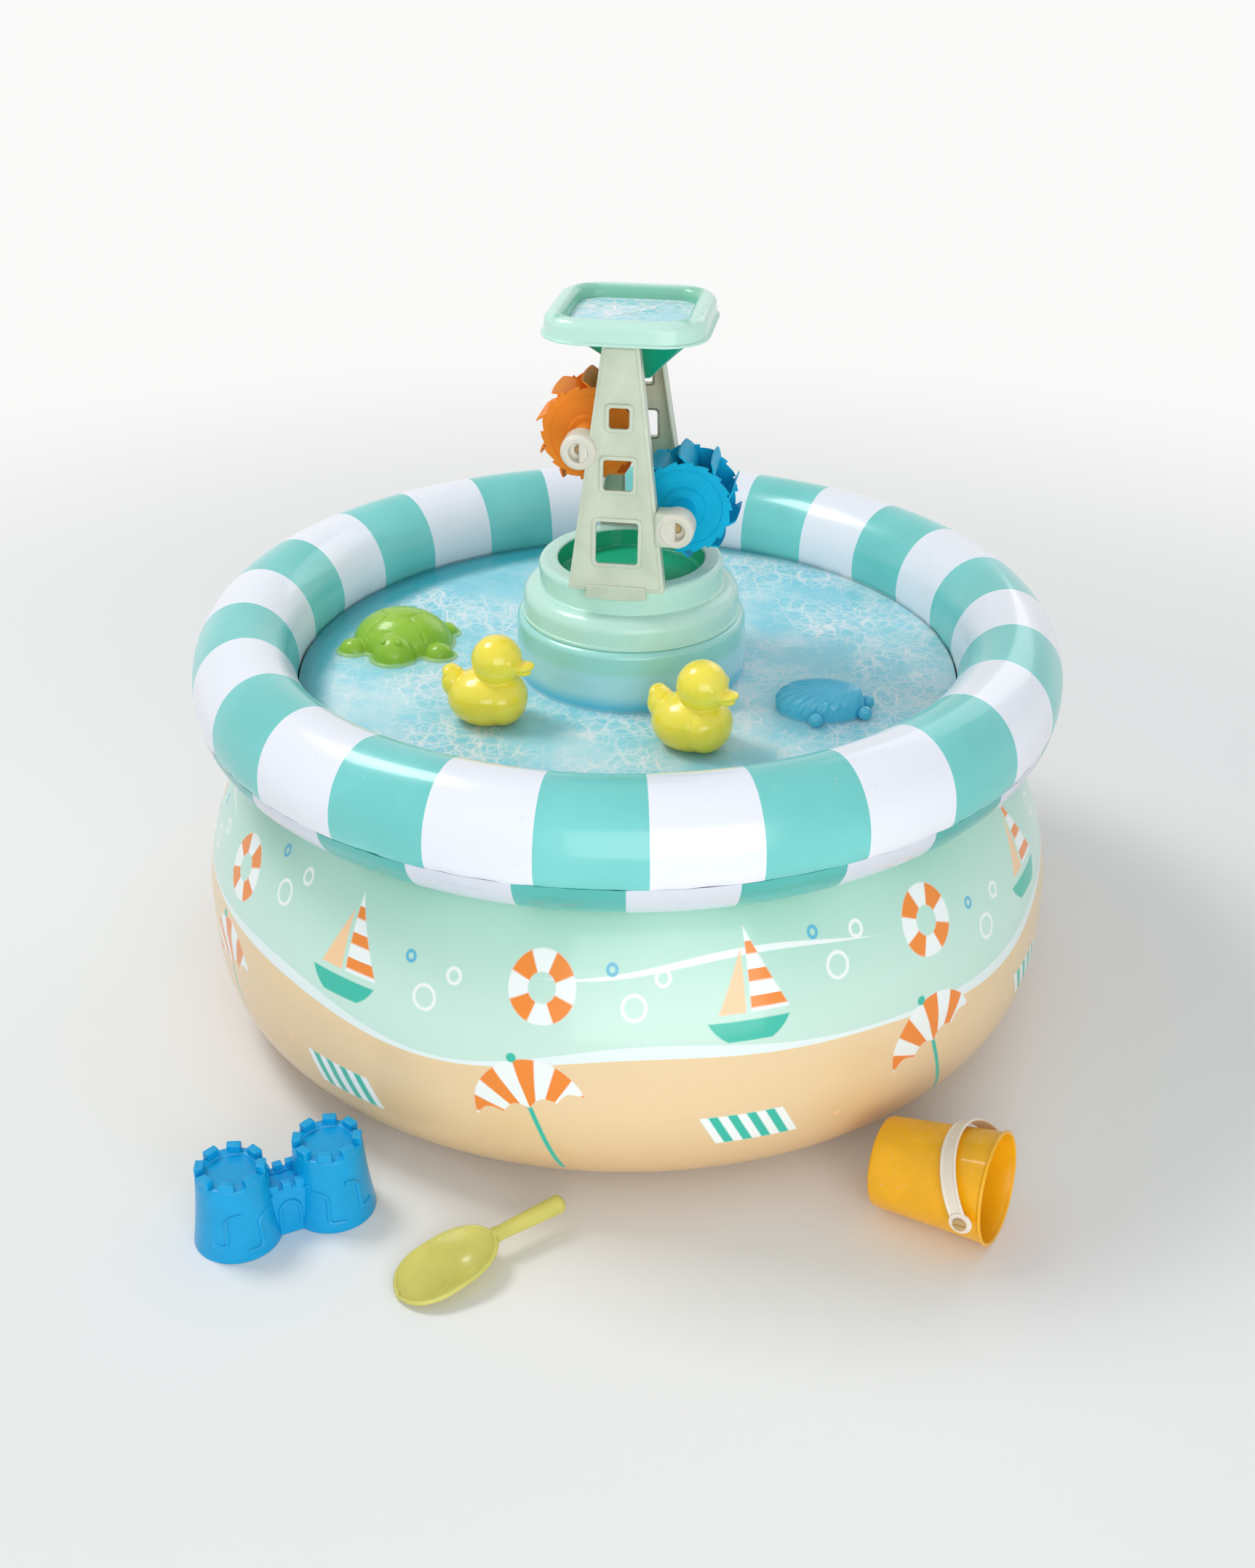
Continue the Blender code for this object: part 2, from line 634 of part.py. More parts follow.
def panel_mesh():
    mesh = leaning_block(0, panel_foot_z, panel_top_z, 0, PANEL_DEPTH)
    for z, size in windows:
        place = Matrix.Translation((0, -panel_y(z), z)) @ Matrix.Rotation(-panel_lean, 4, "X")
        edge = size + WINDOW_FRAME
        mesh = joined(mesh, box((-edge, -WINDOW_FRAME_PROUD, -edge), (edge, PANEL_WALL, edge), place))
    for x, z in (orange_axis, blue_axis):
        middle = LUG_LENGTH / 2 - LUG_PROUD - panel_y(z)
        lug = rod(LUG_RADIUS, LUG_LENGTH, LUG_SIDES, Matrix.Translation((x, middle, z)) @ UPRIGHT)
        edge = panel_half(z) - PANEL_WALL
        near, far = sorted((x, edge if x > 0 else -edge))
        arm = box((near, middle - LUG_LENGTH / 4, z - LUG_ARM_HALF),
                  (far, middle + LUG_LENGTH / 4, z + LUG_ARM_HALF))
        mesh = joined(mesh, lug, arm)
    tab_y = -panel_y(panel_foot_z)
    tab_back = -DRUM_STEP_RADIUS - GAP
    tab = box((-PANEL_TAB_HALF, tab_y - PANEL_WALL / 2, panel_foot_z - PANEL_TAB_DROP),
              (PANEL_TAB_HALF, tab_back, panel_foot_z + PANEL_WEB))
    mesh = joined(mesh, tab)
    hollow = leaning_block(PANEL_WALL, panel_foot_z + PANEL_WEB, panel_top_z - PANEL_WEB,
                           PANEL_WALL, 2 * PANEL_DEPTH)
    mesh = cut(mesh, hollow)
    for z, size in windows:
        place = Matrix.Translation((0, -panel_y(z), z)) @ Matrix.Rotation(-panel_lean, 4, "X")
        mesh = cut(mesh, box((-size, -PANEL_DEPTH, -size), (size, 2 * PANEL_DEPTH, size), place))
    for x, z in (orange_axis, blue_axis):
        face = -LUG_PROUD - panel_y(z)
        through = Matrix.Translation((x, face, z)) @ UPRIGHT
        mesh = cut(mesh, rod(AXLE_RADIUS + GAP, 4 * LUG_LENGTH, AXLE_SIDES, through),
                   rod(LUG_EYE_RADIUS, 2 * LUG_EYE_DEPTH, AXLE_SIDES, through))
    return mesh


front = panel_mesh()
rear = front.copy()
rear.transform(Matrix.Scale(-1, 4, (0, 1, 0)))
rear.flip_normals()
part("front_panel", front, "stone", tower)
part("rear_panel", rear, "stone", tower)


# Wheels
def wheel_mesh():
    bore = AXLE_RADIUS + GAP
    teeth = []
    for tooth in range(WHEEL_TOOTH_COUNT):
        turn = 2 * pi * tooth / WHEEL_TOOTH_COUNT
        for radius in (WHEEL_DISC_RADIUS, WHEEL_DISC_RADIUS - WHEEL_TOOTH_DEPTH):
            teeth.append((radius * cos(turn), radius * sin(turn)))
    blades = []
    for paddle in range(PADDLE_COUNT):
        turn = 2 * pi * paddle / PADDLE_COUNT
        rise = [WHEEL_HUB_RADIUS + (PADDLE_TIP_RADIUS - WHEEL_HUB_RADIUS) * s for s in (0, 0.5, 1)]
        for side, radii in ((-1, rise), (1, rise[::-1])):
            for radius in radii:
                share = (radius - WHEEL_HUB_RADIUS) / (PADDLE_TIP_RADIUS - WHEEL_HUB_RADIUS)
                at = turn + radians(PADDLE_SWEEP) * share * share + side * PADDLE_THICKNESS / 2 / radius
                blades.append((radius * cos(at), radius * sin(at)))
    inside = WHEEL_HALF_WIDTH - WHEEL_DISC_THICKNESS / 2
    mesh = flat([blades], 2 * inside)
    for side in (-1, 1):
        disc = flat([teeth], WHEEL_DISC_THICKNESS, Matrix.Translation((0, side * inside, 0)) @ UPRIGHT)
        mesh = joined(mesh, disc, solver="MANIFOLD")
    nearest = min(panel_y(z + WHEEL_BOSS_RADIUS) for _, z in (orange_axis, blue_axis))
    boss_end = nearest - max(PANEL_DEPTH, LUG_LENGTH - LUG_PROUD) - GAP
    mesh = joined(mesh, rod(WHEEL_BOSS_RADIUS, 2 * boss_end, LUG_SIDES, UPRIGHT), solver="MANIFOLD")
    return cut(mesh, rod(bore, 4 * boss_end, AXLE_SIDES, UPRIGHT), solver="MANIFOLD")


wheel = wheel_mesh()
for colour, (x, z) in (("orange", orange_axis), ("blue", blue_axis)):
    print(colour, "wheel axis", round(x, 5), round(z, 5))
    place = Matrix.Translation((x, 0, z))
    part(f"{colour}_wheel", wheel.copy(), colour, tower, place)
    reach = panel_y(z) + LUG_PROUD - LUG_EYE_DEPTH
    part(f"{colour}_axle", rod(AXLE_RADIUS, 2 * reach, AXLE_SIDES, UPRIGHT), "tan", tower, place)


# Tray and hopper
def tray_loop(inset, z):
    return rounded_box(TRAY_HALF_X - inset, TRAY_HALF_Y - inset, TRAY_CORNER - inset, z)


rim_in = TRAY_RIM
hole = (TRAY_HOLE_HALF_X, TRAY_HOLE_HALF_Y, TRAY_HOLE_CORNER)
tray = loft([
    tray_loop(-TRAY_LIP, tray_floor_z), tray_loop(-TRAY_LIP, tray_floor_z + TRAY_WALL),
    tray_loop(0, tray_floor_z + TRAY_WALL), tray_loop(TRAY_ROUND / 6, TRAY_TOP_Z - TRAY_ROUND),
    tray_loop(TRAY_ROUND, TRAY_TOP_Z), tray_loop(rim_in - TRAY_ROUND / 2, TRAY_TOP_Z),
    tray_loop(rim_in, TRAY_TOP_Z - TRAY_ROUND / 2), tray_loop(rim_in + TRAY_ROUND / 2, tray_floor_z),
    rounded_box(*hole, tray_floor_z), rounded_box(*hole, tray_floor_z - TRAY_WALL),
    tray_loop(rim_in - TRAY_WALL, tray_floor_z - TRAY_WALL),
    tray_loop(rim_in - TRAY_WALL, TRAY_TOP_Z - TRAY_ROUND),
    tray_loop(TRAY_ROUND + TRAY_WALL, TRAY_TOP_Z - TRAY_ROUND), tray_loop(TRAY_WALL, tray_floor_z),
], ring=True)
part("tray", tray, "cap", tower)

hopper_top_z = tray_floor_z - TRAY_WALL - GAP
mouth_aside = HOPPER_MOUTH_X - HOPPER_MOUTH_HALF - ORANGE_X
mouth_z = orange_axis[1] + ((PADDLE_TIP_RADIUS + HOPPER_CLEARANCE) ** 2 - mouth_aside ** 2) ** 0.5
mouth = (HOPPER_MOUTH_HALF, HOPPER_MOUTH_HALF, HOPPER_MOUTH_CORNER, mouth_z, HOPPER_MOUTH_X)
mouth_in = HOPPER_MOUTH_HALF - HOPPER_WALL
hopper = loft([
    rounded_box(HOPPER_HALF_X, HOPPER_HALF_Y, HOPPER_CORNER, hopper_top_z, HOPPER_X), rounded_box(*mouth),
    rounded_box(mouth_in, mouth_in, HOPPER_MOUTH_CORNER - HOPPER_WALL, mouth_z, HOPPER_MOUTH_X),
    rounded_box(HOPPER_HALF_X - 2 * HOPPER_WALL, HOPPER_HALF_Y - 2 * HOPPER_WALL,
                HOPPER_CORNER - HOPPER_WALL, hopper_top_z, HOPPER_X),
], ring=True)
part("hopper", hopper, "green", tower)


# Toys in the basin stand on its floor
def standing(x, y, z, turn):
    return Matrix.Translation((x, y, z + GAP)) @ Matrix.Rotation(radians(turn), 4, "Z")


def duck_mesh():
    body_z = DUCK_BODY[2] - DUCK_BODY_SINK
    inner = [size - DUCK_WALL for size in DUCK_BODY]
    beak_x = DUCK_HEAD_X + DUCK_HEAD_RADIUS
    tail_x = -DUCK_BODY[0] + DUCK_TAIL[0] / 2
    mesh = joined(ball((0, 0, body_z), DUCK_BODY),
                  ball((DUCK_HEAD_X, 0, DUCK_HEAD_Z), [DUCK_HEAD_RADIUS] * 3),
                  ball((beak_x, 0, DUCK_HEAD_Z - DUCK_BEAK[2]), DUCK_BEAK, SMALL_BALL_SIDES),
                  ball((tail_x, 0, body_z + DUCK_BODY[2] / 2), DUCK_TAIL, SMALL_BALL_SIDES))
    below = box((-1, -1, -1), (1, 1, 0))
    hollow = cut(ball((0, 0, body_z), inner, SMALL_BALL_SIDES), box((-1, -1, -1), (1, 1, DUCK_WALL)))
    vent = rod(DUCK_VENT_RADIUS, 4 * DUCK_WALL, SMALL_BALL_SIDES, Matrix())
    return cut(mesh, below, hollow, vent)


duck = duck_mesh()
for name, (x, y, turn) in DUCK_PLACES.items():
    part(name, duck.copy(), "yellow", place=standing(x, y, FLOOR_Z, turn), sharp=60)


def turtle_lobes(grow):
    """The turtle's rounded lobes, each larger by grow all round: shell, head, flippers and feet."""
    lobes = [((0, 0, 0), TURTLE_SHELL, BALL_SIDES), ((0, TURTLE_HEAD_Y, 0), TURTLE_HEAD, SMALL_BALL_SIDES)]
    for side in (-1, 1):
        lobes.append(((side * TURTLE_FLIPPER_X, TURTLE_FLIPPER_Y, 0), TURTLE_FLIPPER, SMALL_BALL_SIDES))
        lobes.append(((side * TURTLE_FOOT_X, TURTLE_FOOT_Y, 0), TURTLE_FOOT, SMALL_BALL_SIDES))
    return [(centre, [size + grow for size in radii], sides) for centre, radii, sides in lobes]


rims = []
for centre, radii, sides in turtle_lobes(MOULD_RIM):
    middle = Matrix.Translation((centre[0], centre[1], MOULD_RIM_THICKNESS / 2))
    oval = middle @ Matrix.Diagonal((radii[0], radii[1], 1, 1))
    rims.append(rod(1, MOULD_RIM_THICKNESS, sides, oval))
domes = [ball(centre, radii, sides) for centre, radii, sides in turtle_lobes(0)]
hollows = [ball(centre, radii, sides) for centre, radii, sides in turtle_lobes(-MOULD_WALL)]
turtle = cut(joined(*domes, *rims), box((-1, -1, -1), (1, 1, 0)), joined(*hollows))
part("turtle_mould", turtle, "lime", place=standing(TURTLE_X, TURTLE_Y, FLOOR_Z, TURTLE_TURN), sharp=50)


def scallop_loop(share, z, inset=0.0):
    """A loop of the fan: ribbed towards its wide end and drawn in to the hinge at +X."""
    hinge = SHELL_LENGTH * SHELL_HINGE
    loop = []
    for i in range(SHELL_SIDES):
        turn = 2 * pi * i / SHELL_SIDES
        fan = (1 - cos(turn)) / 2
        rib = SHELL_RIB_DEPTH * fan * cos(turn * 2 * SHELL_RIB_COUNT) * share
        x = (SHELL_LENGTH / 2 - inset + rib) * cos(turn)
        y = (SHELL_WIDTH / 2 - inset + rib) * sin(turn) * (1 - SHELL_TAPER * (1 - fan))
        loop.append((hinge + (x - hinge) * share, y * share, z))
    return loop


def scallop(inset):
    crown = SHELL_HEIGHT - inset - SHELL_SKIRT
    loops = [scallop_loop(1, -2 * inset, inset), scallop_loop(1, SHELL_SKIRT, inset)]
    for share, rise in SHELL_CROWN:
        loops.append(scallop_loop(share, SHELL_SKIRT + crown * rise, inset))
    return loft(loops)


shell = scallop(0.0)
hinge_pearls = [(SHELL_LENGTH / 2, side * SHELL_WIDTH / 6) for side in (-1, 1)]
for x, y in [(0.0, -SHELL_WIDTH / 2)] + hinge_pearls:
    shell = joined(shell, ball((x, y, SHELL_BALL_RADIUS), [SHELL_BALL_RADIUS] * 3, SMALL_BALL_SIDES))
shell = cut(shell, scallop(MOULD_WALL))
part("shell_mould", shell, "sky", place=standing(SHELL_X, SHELL_Y, FLOOR_Z, SHELL_TURN), sharp=50)


# Castle mould on the ground
def castle_mesh():
    mesh = box((-CASTLE_SPAN / 2, -CURTAIN_HALF, 0), (CASTLE_SPAN / 2, CURTAIN_HALF, CURTAIN_HEIGHT))
    inner = box((-CASTLE_SPAN / 2, MOULD_WALL - CURTAIN_HALF, -MOULD_WALL),
                (CASTLE_SPAN / 2, CURTAIN_HALF - MOULD_WALL, CURTAIN_HEIGHT - MOULD_WALL))
    sunk = MERLON_HEIGHT / 4
    for side in (-1, 1):
        foot = Matrix.Translation((side * CASTLE_SPAN / 2, 0, 0))
        mesh = joined(mesh, cone(CASTLE_FOOT_RADIUS, CASTLE_TOP_RADIUS, CASTLE_HEIGHT, CASTLE_SIDES, foot))
        below = foot @ Matrix.Translation((0, 0, -MOULD_WALL))
        inner = joined(inner, cone(CASTLE_FOOT_RADIUS - MOULD_WALL, CASTLE_TOP_RADIUS - MOULD_WALL,
                                   CASTLE_HEIGHT, CASTLE_SIDES, below))
        for merlon in range(MERLON_COUNT):
            stand = foot @ Matrix.Rotation(2 * pi * (merlon + 0.5) / MERLON_COUNT, 4, "Z")
            outer = CASTLE_TOP_RADIUS * cos(pi / CASTLE_SIDES) - sunk
            block = box((outer - MERLON_DEPTH, -MERLON_WIDTH / 2, CASTLE_HEIGHT - sunk),
                        (outer, MERLON_WIDTH / 2, CASTLE_HEIGHT + MERLON_HEIGHT), stand)
            mesh = joined(mesh, block)
    for side in (-1, 1):
        edge = side * (CURTAIN_HALF - sunk)
        near, far = sorted((edge, edge - side * MERLON_DEPTH))
        mesh = joined(mesh, box((-MERLON_WIDTH / 2, near, CURTAIN_HEIGHT - sunk),
                                (MERLON_WIDTH / 2, far, CURTAIN_HEIGHT + MERLON_HEIGHT)))
    return cut(mesh, inner)


part("castle_mould", castle_mesh(), "blue", place=standing(CASTLE_X, CASTLE_Y, -GAP, CASTLE_TURN))


# Scoop: a dished blade with a round handle, lying on its back
def scoop_mesh():
    rows = SCOOP_ROWS
    columns = SCOOP_COLUMNS
    shape = bmesh.new()
    grid = []
    for i in range(rows):
        u = i / (rows - 1)
        nose = sin(pi / 2 * min(u / SCOOP_NOSE, 1))
        heel = cos(pi / 2 * max(u - SCOOP_HEEL, 0) / (1 - SCOOP_HEEL))
        width = SCOOP_HALF_WIDTH * min(SCOOP_BLUNT + (1 - SCOOP_BLUNT) * nose,
                                       SCOOP_NECK + (1 - SCOOP_NECK) * heel)
        rim = SCOOP_DEPTH * (SCOOP_LIP + (1 - SCOOP_LIP) * u)
        floor = SCOOP_DEPTH * max(0, (u - SCOOP_HEEL) / (1 - SCOOP_HEEL)) ** 2
        line = []
        for j in range(columns):
            v = 2 * j / (columns - 1) - 1
            rise = floor + (rim - floor) * abs(v) ** SCOOP_DISH
            line.append(shape.verts.new(((u - 1) * SCOOP_LENGTH, width * v, rise)))
        grid.append(line)
    for low, high in zip(grid, grid[1:]):
        for j in range(columns - 1):
            shape.faces.new((low[j], high[j], high[j + 1], low[j + 1]))
    mesh = bpy.data.meshes.new("blade")
    shape.to_mesh(mesh)
    shape.free()
    obj = link(mesh)
    wall = obj.modifiers.new("Solidify", "SOLIDIFY")
    wall.thickness = SCOOP_WALL
    wall.offset = 0.0
    blade = welded(evaluated_mesh(obj))
    lean = atan2(SCOOP_HANDLE_RISE, SCOOP_HANDLE_LENGTH)
    start = Matrix.Translation((-SCOOP_HANDLE_RADIUS, 0, SCOOP_DEPTH - SCOOP_WALL))
    along = start @ Matrix.Rotation(pi / 2 - lean, 4, "Y")
    handle = cone(SCOOP_HANDLE_NECK, SCOOP_HANDLE_RADIUS, SCOOP_HANDLE_LENGTH, PIN_SIDES, along)
    mesh = joined(blade, handle)
    lowest = min(v.co.z for v in mesh.vertices)
    mesh.transform(Matrix.Translation((0, 0, -lowest)))
    return mesh


part("scoop", scoop_mesh(), "straw", place=standing(SCOOP_X, SCOOP_Y, -GAP, SCOOP_TURN), sharp=50)

# Bucket on its side: its bead and its base edge touch the ground
bead_radius = BUCKET_MOUTH_RADIUS + BUCKET_BEAD
bead_low = BUCKET_LENGTH - 2 * BUCKET_BEAD
pitch = atan2(bead_radius - BUCKET_BASE_RADIUS, bead_low)
bucket_place = (Matrix.Translation((BUCKET_X, BUCKET_Y, BUCKET_BASE_RADIUS * cos(pitch)))
                @ Matrix.Rotation(radians(BUCKET_HEADING), 4, "Z") @ Matrix.Rotation(pi / 2 - pitch, 4, "Y")
                @ Matrix.Rotation(radians(BUCKET_ROLL), 4, "Z"))
bucket_frame = bpy.data.objects.new("bucket_frame", None)
parts.objects.link(bucket_frame)
bucket_frame.matrix_world = bucket_place
pivot_z = BUCKET_LENGTH - PIVOT_BELOW_MOUTH
handle_radius = (hypot(bead_radius, PIVOT_BELOW_MOUTH) + HANDLE_CLEARANCE) / cos(pi / HANDLE_FACETS / 2)


def bucket_radius(z):
    return BUCKET_BASE_RADIUS + (BUCKET_MOUTH_RADIUS - BUCKET_BASE_RADIUS) * z / BUCKET_LENGTH


def bucket_mesh():
    mesh = turned([(0, BUCKET_WALL), (BUCKET_BASE_RADIUS - BUCKET_WALL, BUCKET_WALL),
                   (BUCKET_MOUTH_RADIUS - BUCKET_WALL, BUCKET_LENGTH), (bead_radius, BUCKET_LENGTH),
                   (bead_radius, bead_low), (bucket_radius(bead_low), bead_low),
                   (BUCKET_BASE_RADIUS, 0), (0, 0)], BUCKET_SIDES, False)
    sideways = Matrix.Translation((0, 0, pivot_z)) @ Matrix.Rotation(pi / 2, 4, "Y")
    inside = bucket_radius(pivot_z) - BUCKET_WALL
    for side in (-1, 1):
        near = inside + BUCKET_WALL / 4
        far = (handle_radius ** 2 - PIVOT_BOSS_RADIUS ** 2) ** 0.5 - 2 * GAP
        place = Matrix.Translation((side * (near + far) / 2, 0, 0)) @ sideways
        mesh = joined(mesh, rod(PIVOT_BOSS_RADIUS, far - near, BALL_SIDES, place))
    return cut(mesh, rod(PIN_SHANK_RADIUS + GAP, 4 * bead_radius, PIN_SIDES, sideways))


part("bucket", bucket_mesh(), "amber", bucket_frame)


def handle_angle():
    """The swing at which the band's edge comes to rest on the bucket's wall, from straight up."""
    swing = pi / 2
    step = radians(0.25)
    while True:
        swing += step
        for facet in range(HANDLE_FACETS + 1):
            turn = pi * facet / HANDLE_FACETS
            reach = handle_radius * cos(pi / HANDLE_FACETS / 2)
            up = reach * sin(turn) * cos(swing) - HANDLE_WIDTH / 2 * sin(swing)
            out = reach * sin(turn) * sin(swing) + HANDLE_WIDTH / 2 * cos(swing)
            clear = hypot(reach * cos(turn), out) - bucket_radius(pivot_z + up) if out > 0 else 1
            if clear < 2 * GAP:
                return swing - step


def handle_mesh():
    outer = handle_radius + HANDLE_THICKNESS
    turns = spaced(0, pi, HANDLE_FACETS)
    arch = [(outer * cos(t), outer * sin(t)) for t in turns]
    arch += [(handle_radius * cos(t), handle_radius * sin(t)) for t in turns[::-1]]
    mesh = flat([arch], HANDLE_WIDTH)
    for side in (-1, 1):
        middle = side * (handle_radius + HANDLE_THICKNESS / 2)
        eye = Matrix.Translation((middle, 0, 0)) @ Matrix.Rotation(pi / 2, 4, "Y")
        mesh = joined(mesh, rod(HANDLE_WIDTH / 2, HANDLE_THICKNESS, LUG_SIDES, eye), solver="MANIFOLD")
    hole = rod(PIN_SHANK_RADIUS + GAP, 4 * outer, PIN_SIDES, Matrix.Rotation(pi / 2, 4, "Y"))
    return cut(mesh, hole, solver="MANIFOLD")


swing = handle_angle()
handle_place = Matrix.Translation((0, 0, pivot_z)) @ Matrix.Rotation(swing, 4, "X")
part("bucket_handle", handle_mesh(), "cream", bucket_frame, handle_place)

for name, side in (("handle_pin_front", 1), ("handle_pin_rear", -1)):
    head = handle_radius + HANDLE_THICKNESS + GAP
    tail = bucket_radius(pivot_z) - BUCKET_WALL
    end = head + PIN_HEAD_THICKNESS
    pin = turned([(0, end), (PIN_HEAD_RADIUS, end), (PIN_HEAD_RADIUS, head), (PIN_SHANK_RADIUS, head),
                  (PIN_SHANK_RADIUS, tail), (0, tail)], PIN_SIDES, False)
    slot = box((-2 * PIN_HEAD_RADIUS, -PIN_SLOT_WIDTH / 2, end - PIN_SLOT_DEPTH),
               (2 * PIN_HEAD_RADIUS, PIN_SLOT_WIDTH / 2, end + PIN_SLOT_DEPTH))
    sideways = Matrix.Translation((0, 0, pivot_z)) @ Matrix.Rotation(side * pi / 2, 4, "Y")
    part(name, cut(pin, slot), "tan", bucket_frame, sideways)

bpy.context.view_layer.update()
axis = bucket_frame.matrix_world.to_3x3() @ Vector((1, 0, 0))
pivot = bucket_frame.matrix_world @ Vector((0, 0, pivot_z))
print("handle pivot", [round(v, 5) for v in pivot], "axis", [round(v, 5) for v in axis])
print("handle swing", round(degrees(swing), 2))
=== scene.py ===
import json
from functools import reduce
from math import acos, atan2, cos, exp, hypot, pi, radians, sin, sqrt, tan

import bmesh
import bpy
from mathutils import Matrix, Vector, noise


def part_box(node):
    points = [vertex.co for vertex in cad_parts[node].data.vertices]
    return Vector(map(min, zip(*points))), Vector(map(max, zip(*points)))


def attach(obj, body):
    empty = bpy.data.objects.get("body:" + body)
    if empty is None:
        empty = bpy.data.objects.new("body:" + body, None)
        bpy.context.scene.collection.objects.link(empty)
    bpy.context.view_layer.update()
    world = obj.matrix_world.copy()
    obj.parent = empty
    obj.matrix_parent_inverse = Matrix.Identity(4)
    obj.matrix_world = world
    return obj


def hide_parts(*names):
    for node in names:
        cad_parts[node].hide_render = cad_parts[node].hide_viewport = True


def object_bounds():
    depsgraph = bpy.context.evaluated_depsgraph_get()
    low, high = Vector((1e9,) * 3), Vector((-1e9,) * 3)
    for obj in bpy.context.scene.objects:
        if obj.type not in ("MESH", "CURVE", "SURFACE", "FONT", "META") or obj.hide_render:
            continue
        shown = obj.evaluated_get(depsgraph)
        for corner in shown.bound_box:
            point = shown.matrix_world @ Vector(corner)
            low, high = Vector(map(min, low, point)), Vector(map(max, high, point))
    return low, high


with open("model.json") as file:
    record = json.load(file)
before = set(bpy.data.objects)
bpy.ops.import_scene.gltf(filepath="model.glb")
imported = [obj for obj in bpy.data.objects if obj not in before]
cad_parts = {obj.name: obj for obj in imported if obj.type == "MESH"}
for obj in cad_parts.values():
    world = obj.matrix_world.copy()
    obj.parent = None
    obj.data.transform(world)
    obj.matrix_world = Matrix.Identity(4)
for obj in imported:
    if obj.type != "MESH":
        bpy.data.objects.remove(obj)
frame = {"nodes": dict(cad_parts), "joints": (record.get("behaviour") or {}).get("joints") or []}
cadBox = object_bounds()
scene = bpy.context.scene
pieces = bpy.data.collections.new("dressed pieces")
scene.collection.children.link(pieces)
print("frame loaded:", len(frame["nodes"]), "solids")


def hexColour(code):  # a web colour as linear RGBA
    shares = [int(code[i:i + 2], 16) / 255 for i in (0, 2, 4)]
    linear = [v / 12.92 if v <= 0.04045 else ((v + 0.055) / 1.055) ** 2.4 for v in shares]
    return (*linear, 1.0)


def mix(a, b, share):
    return a + (b - a) * share


def spread(first, last, count):
    return [mix(first, last, i / count) for i in range(count + 1)]


def withSettings(thing, settings):
    for name, value in settings.items():
        setattr(thing, name, value)
    return thing


# Materials are written as sums: each Term is one socket, and its signs add Math nodes
class Term:
    def __init__(self, recipe, socket):
        self.recipe, self.socket = recipe, socket


def operators(operation):
    return (lambda self, other: self.recipe.sum(operation, self, other),
            lambda self, other: self.recipe.sum(operation, other, self))


for sign, operation in (("add", "ADD"), ("sub", "SUBTRACT"), ("mul", "MULTIPLY"), ("truediv", "DIVIDE")):
    for label, action in zip((f"__{sign}__", f"__r{sign}__"), operators(operation)):
        setattr(Term, label, action)


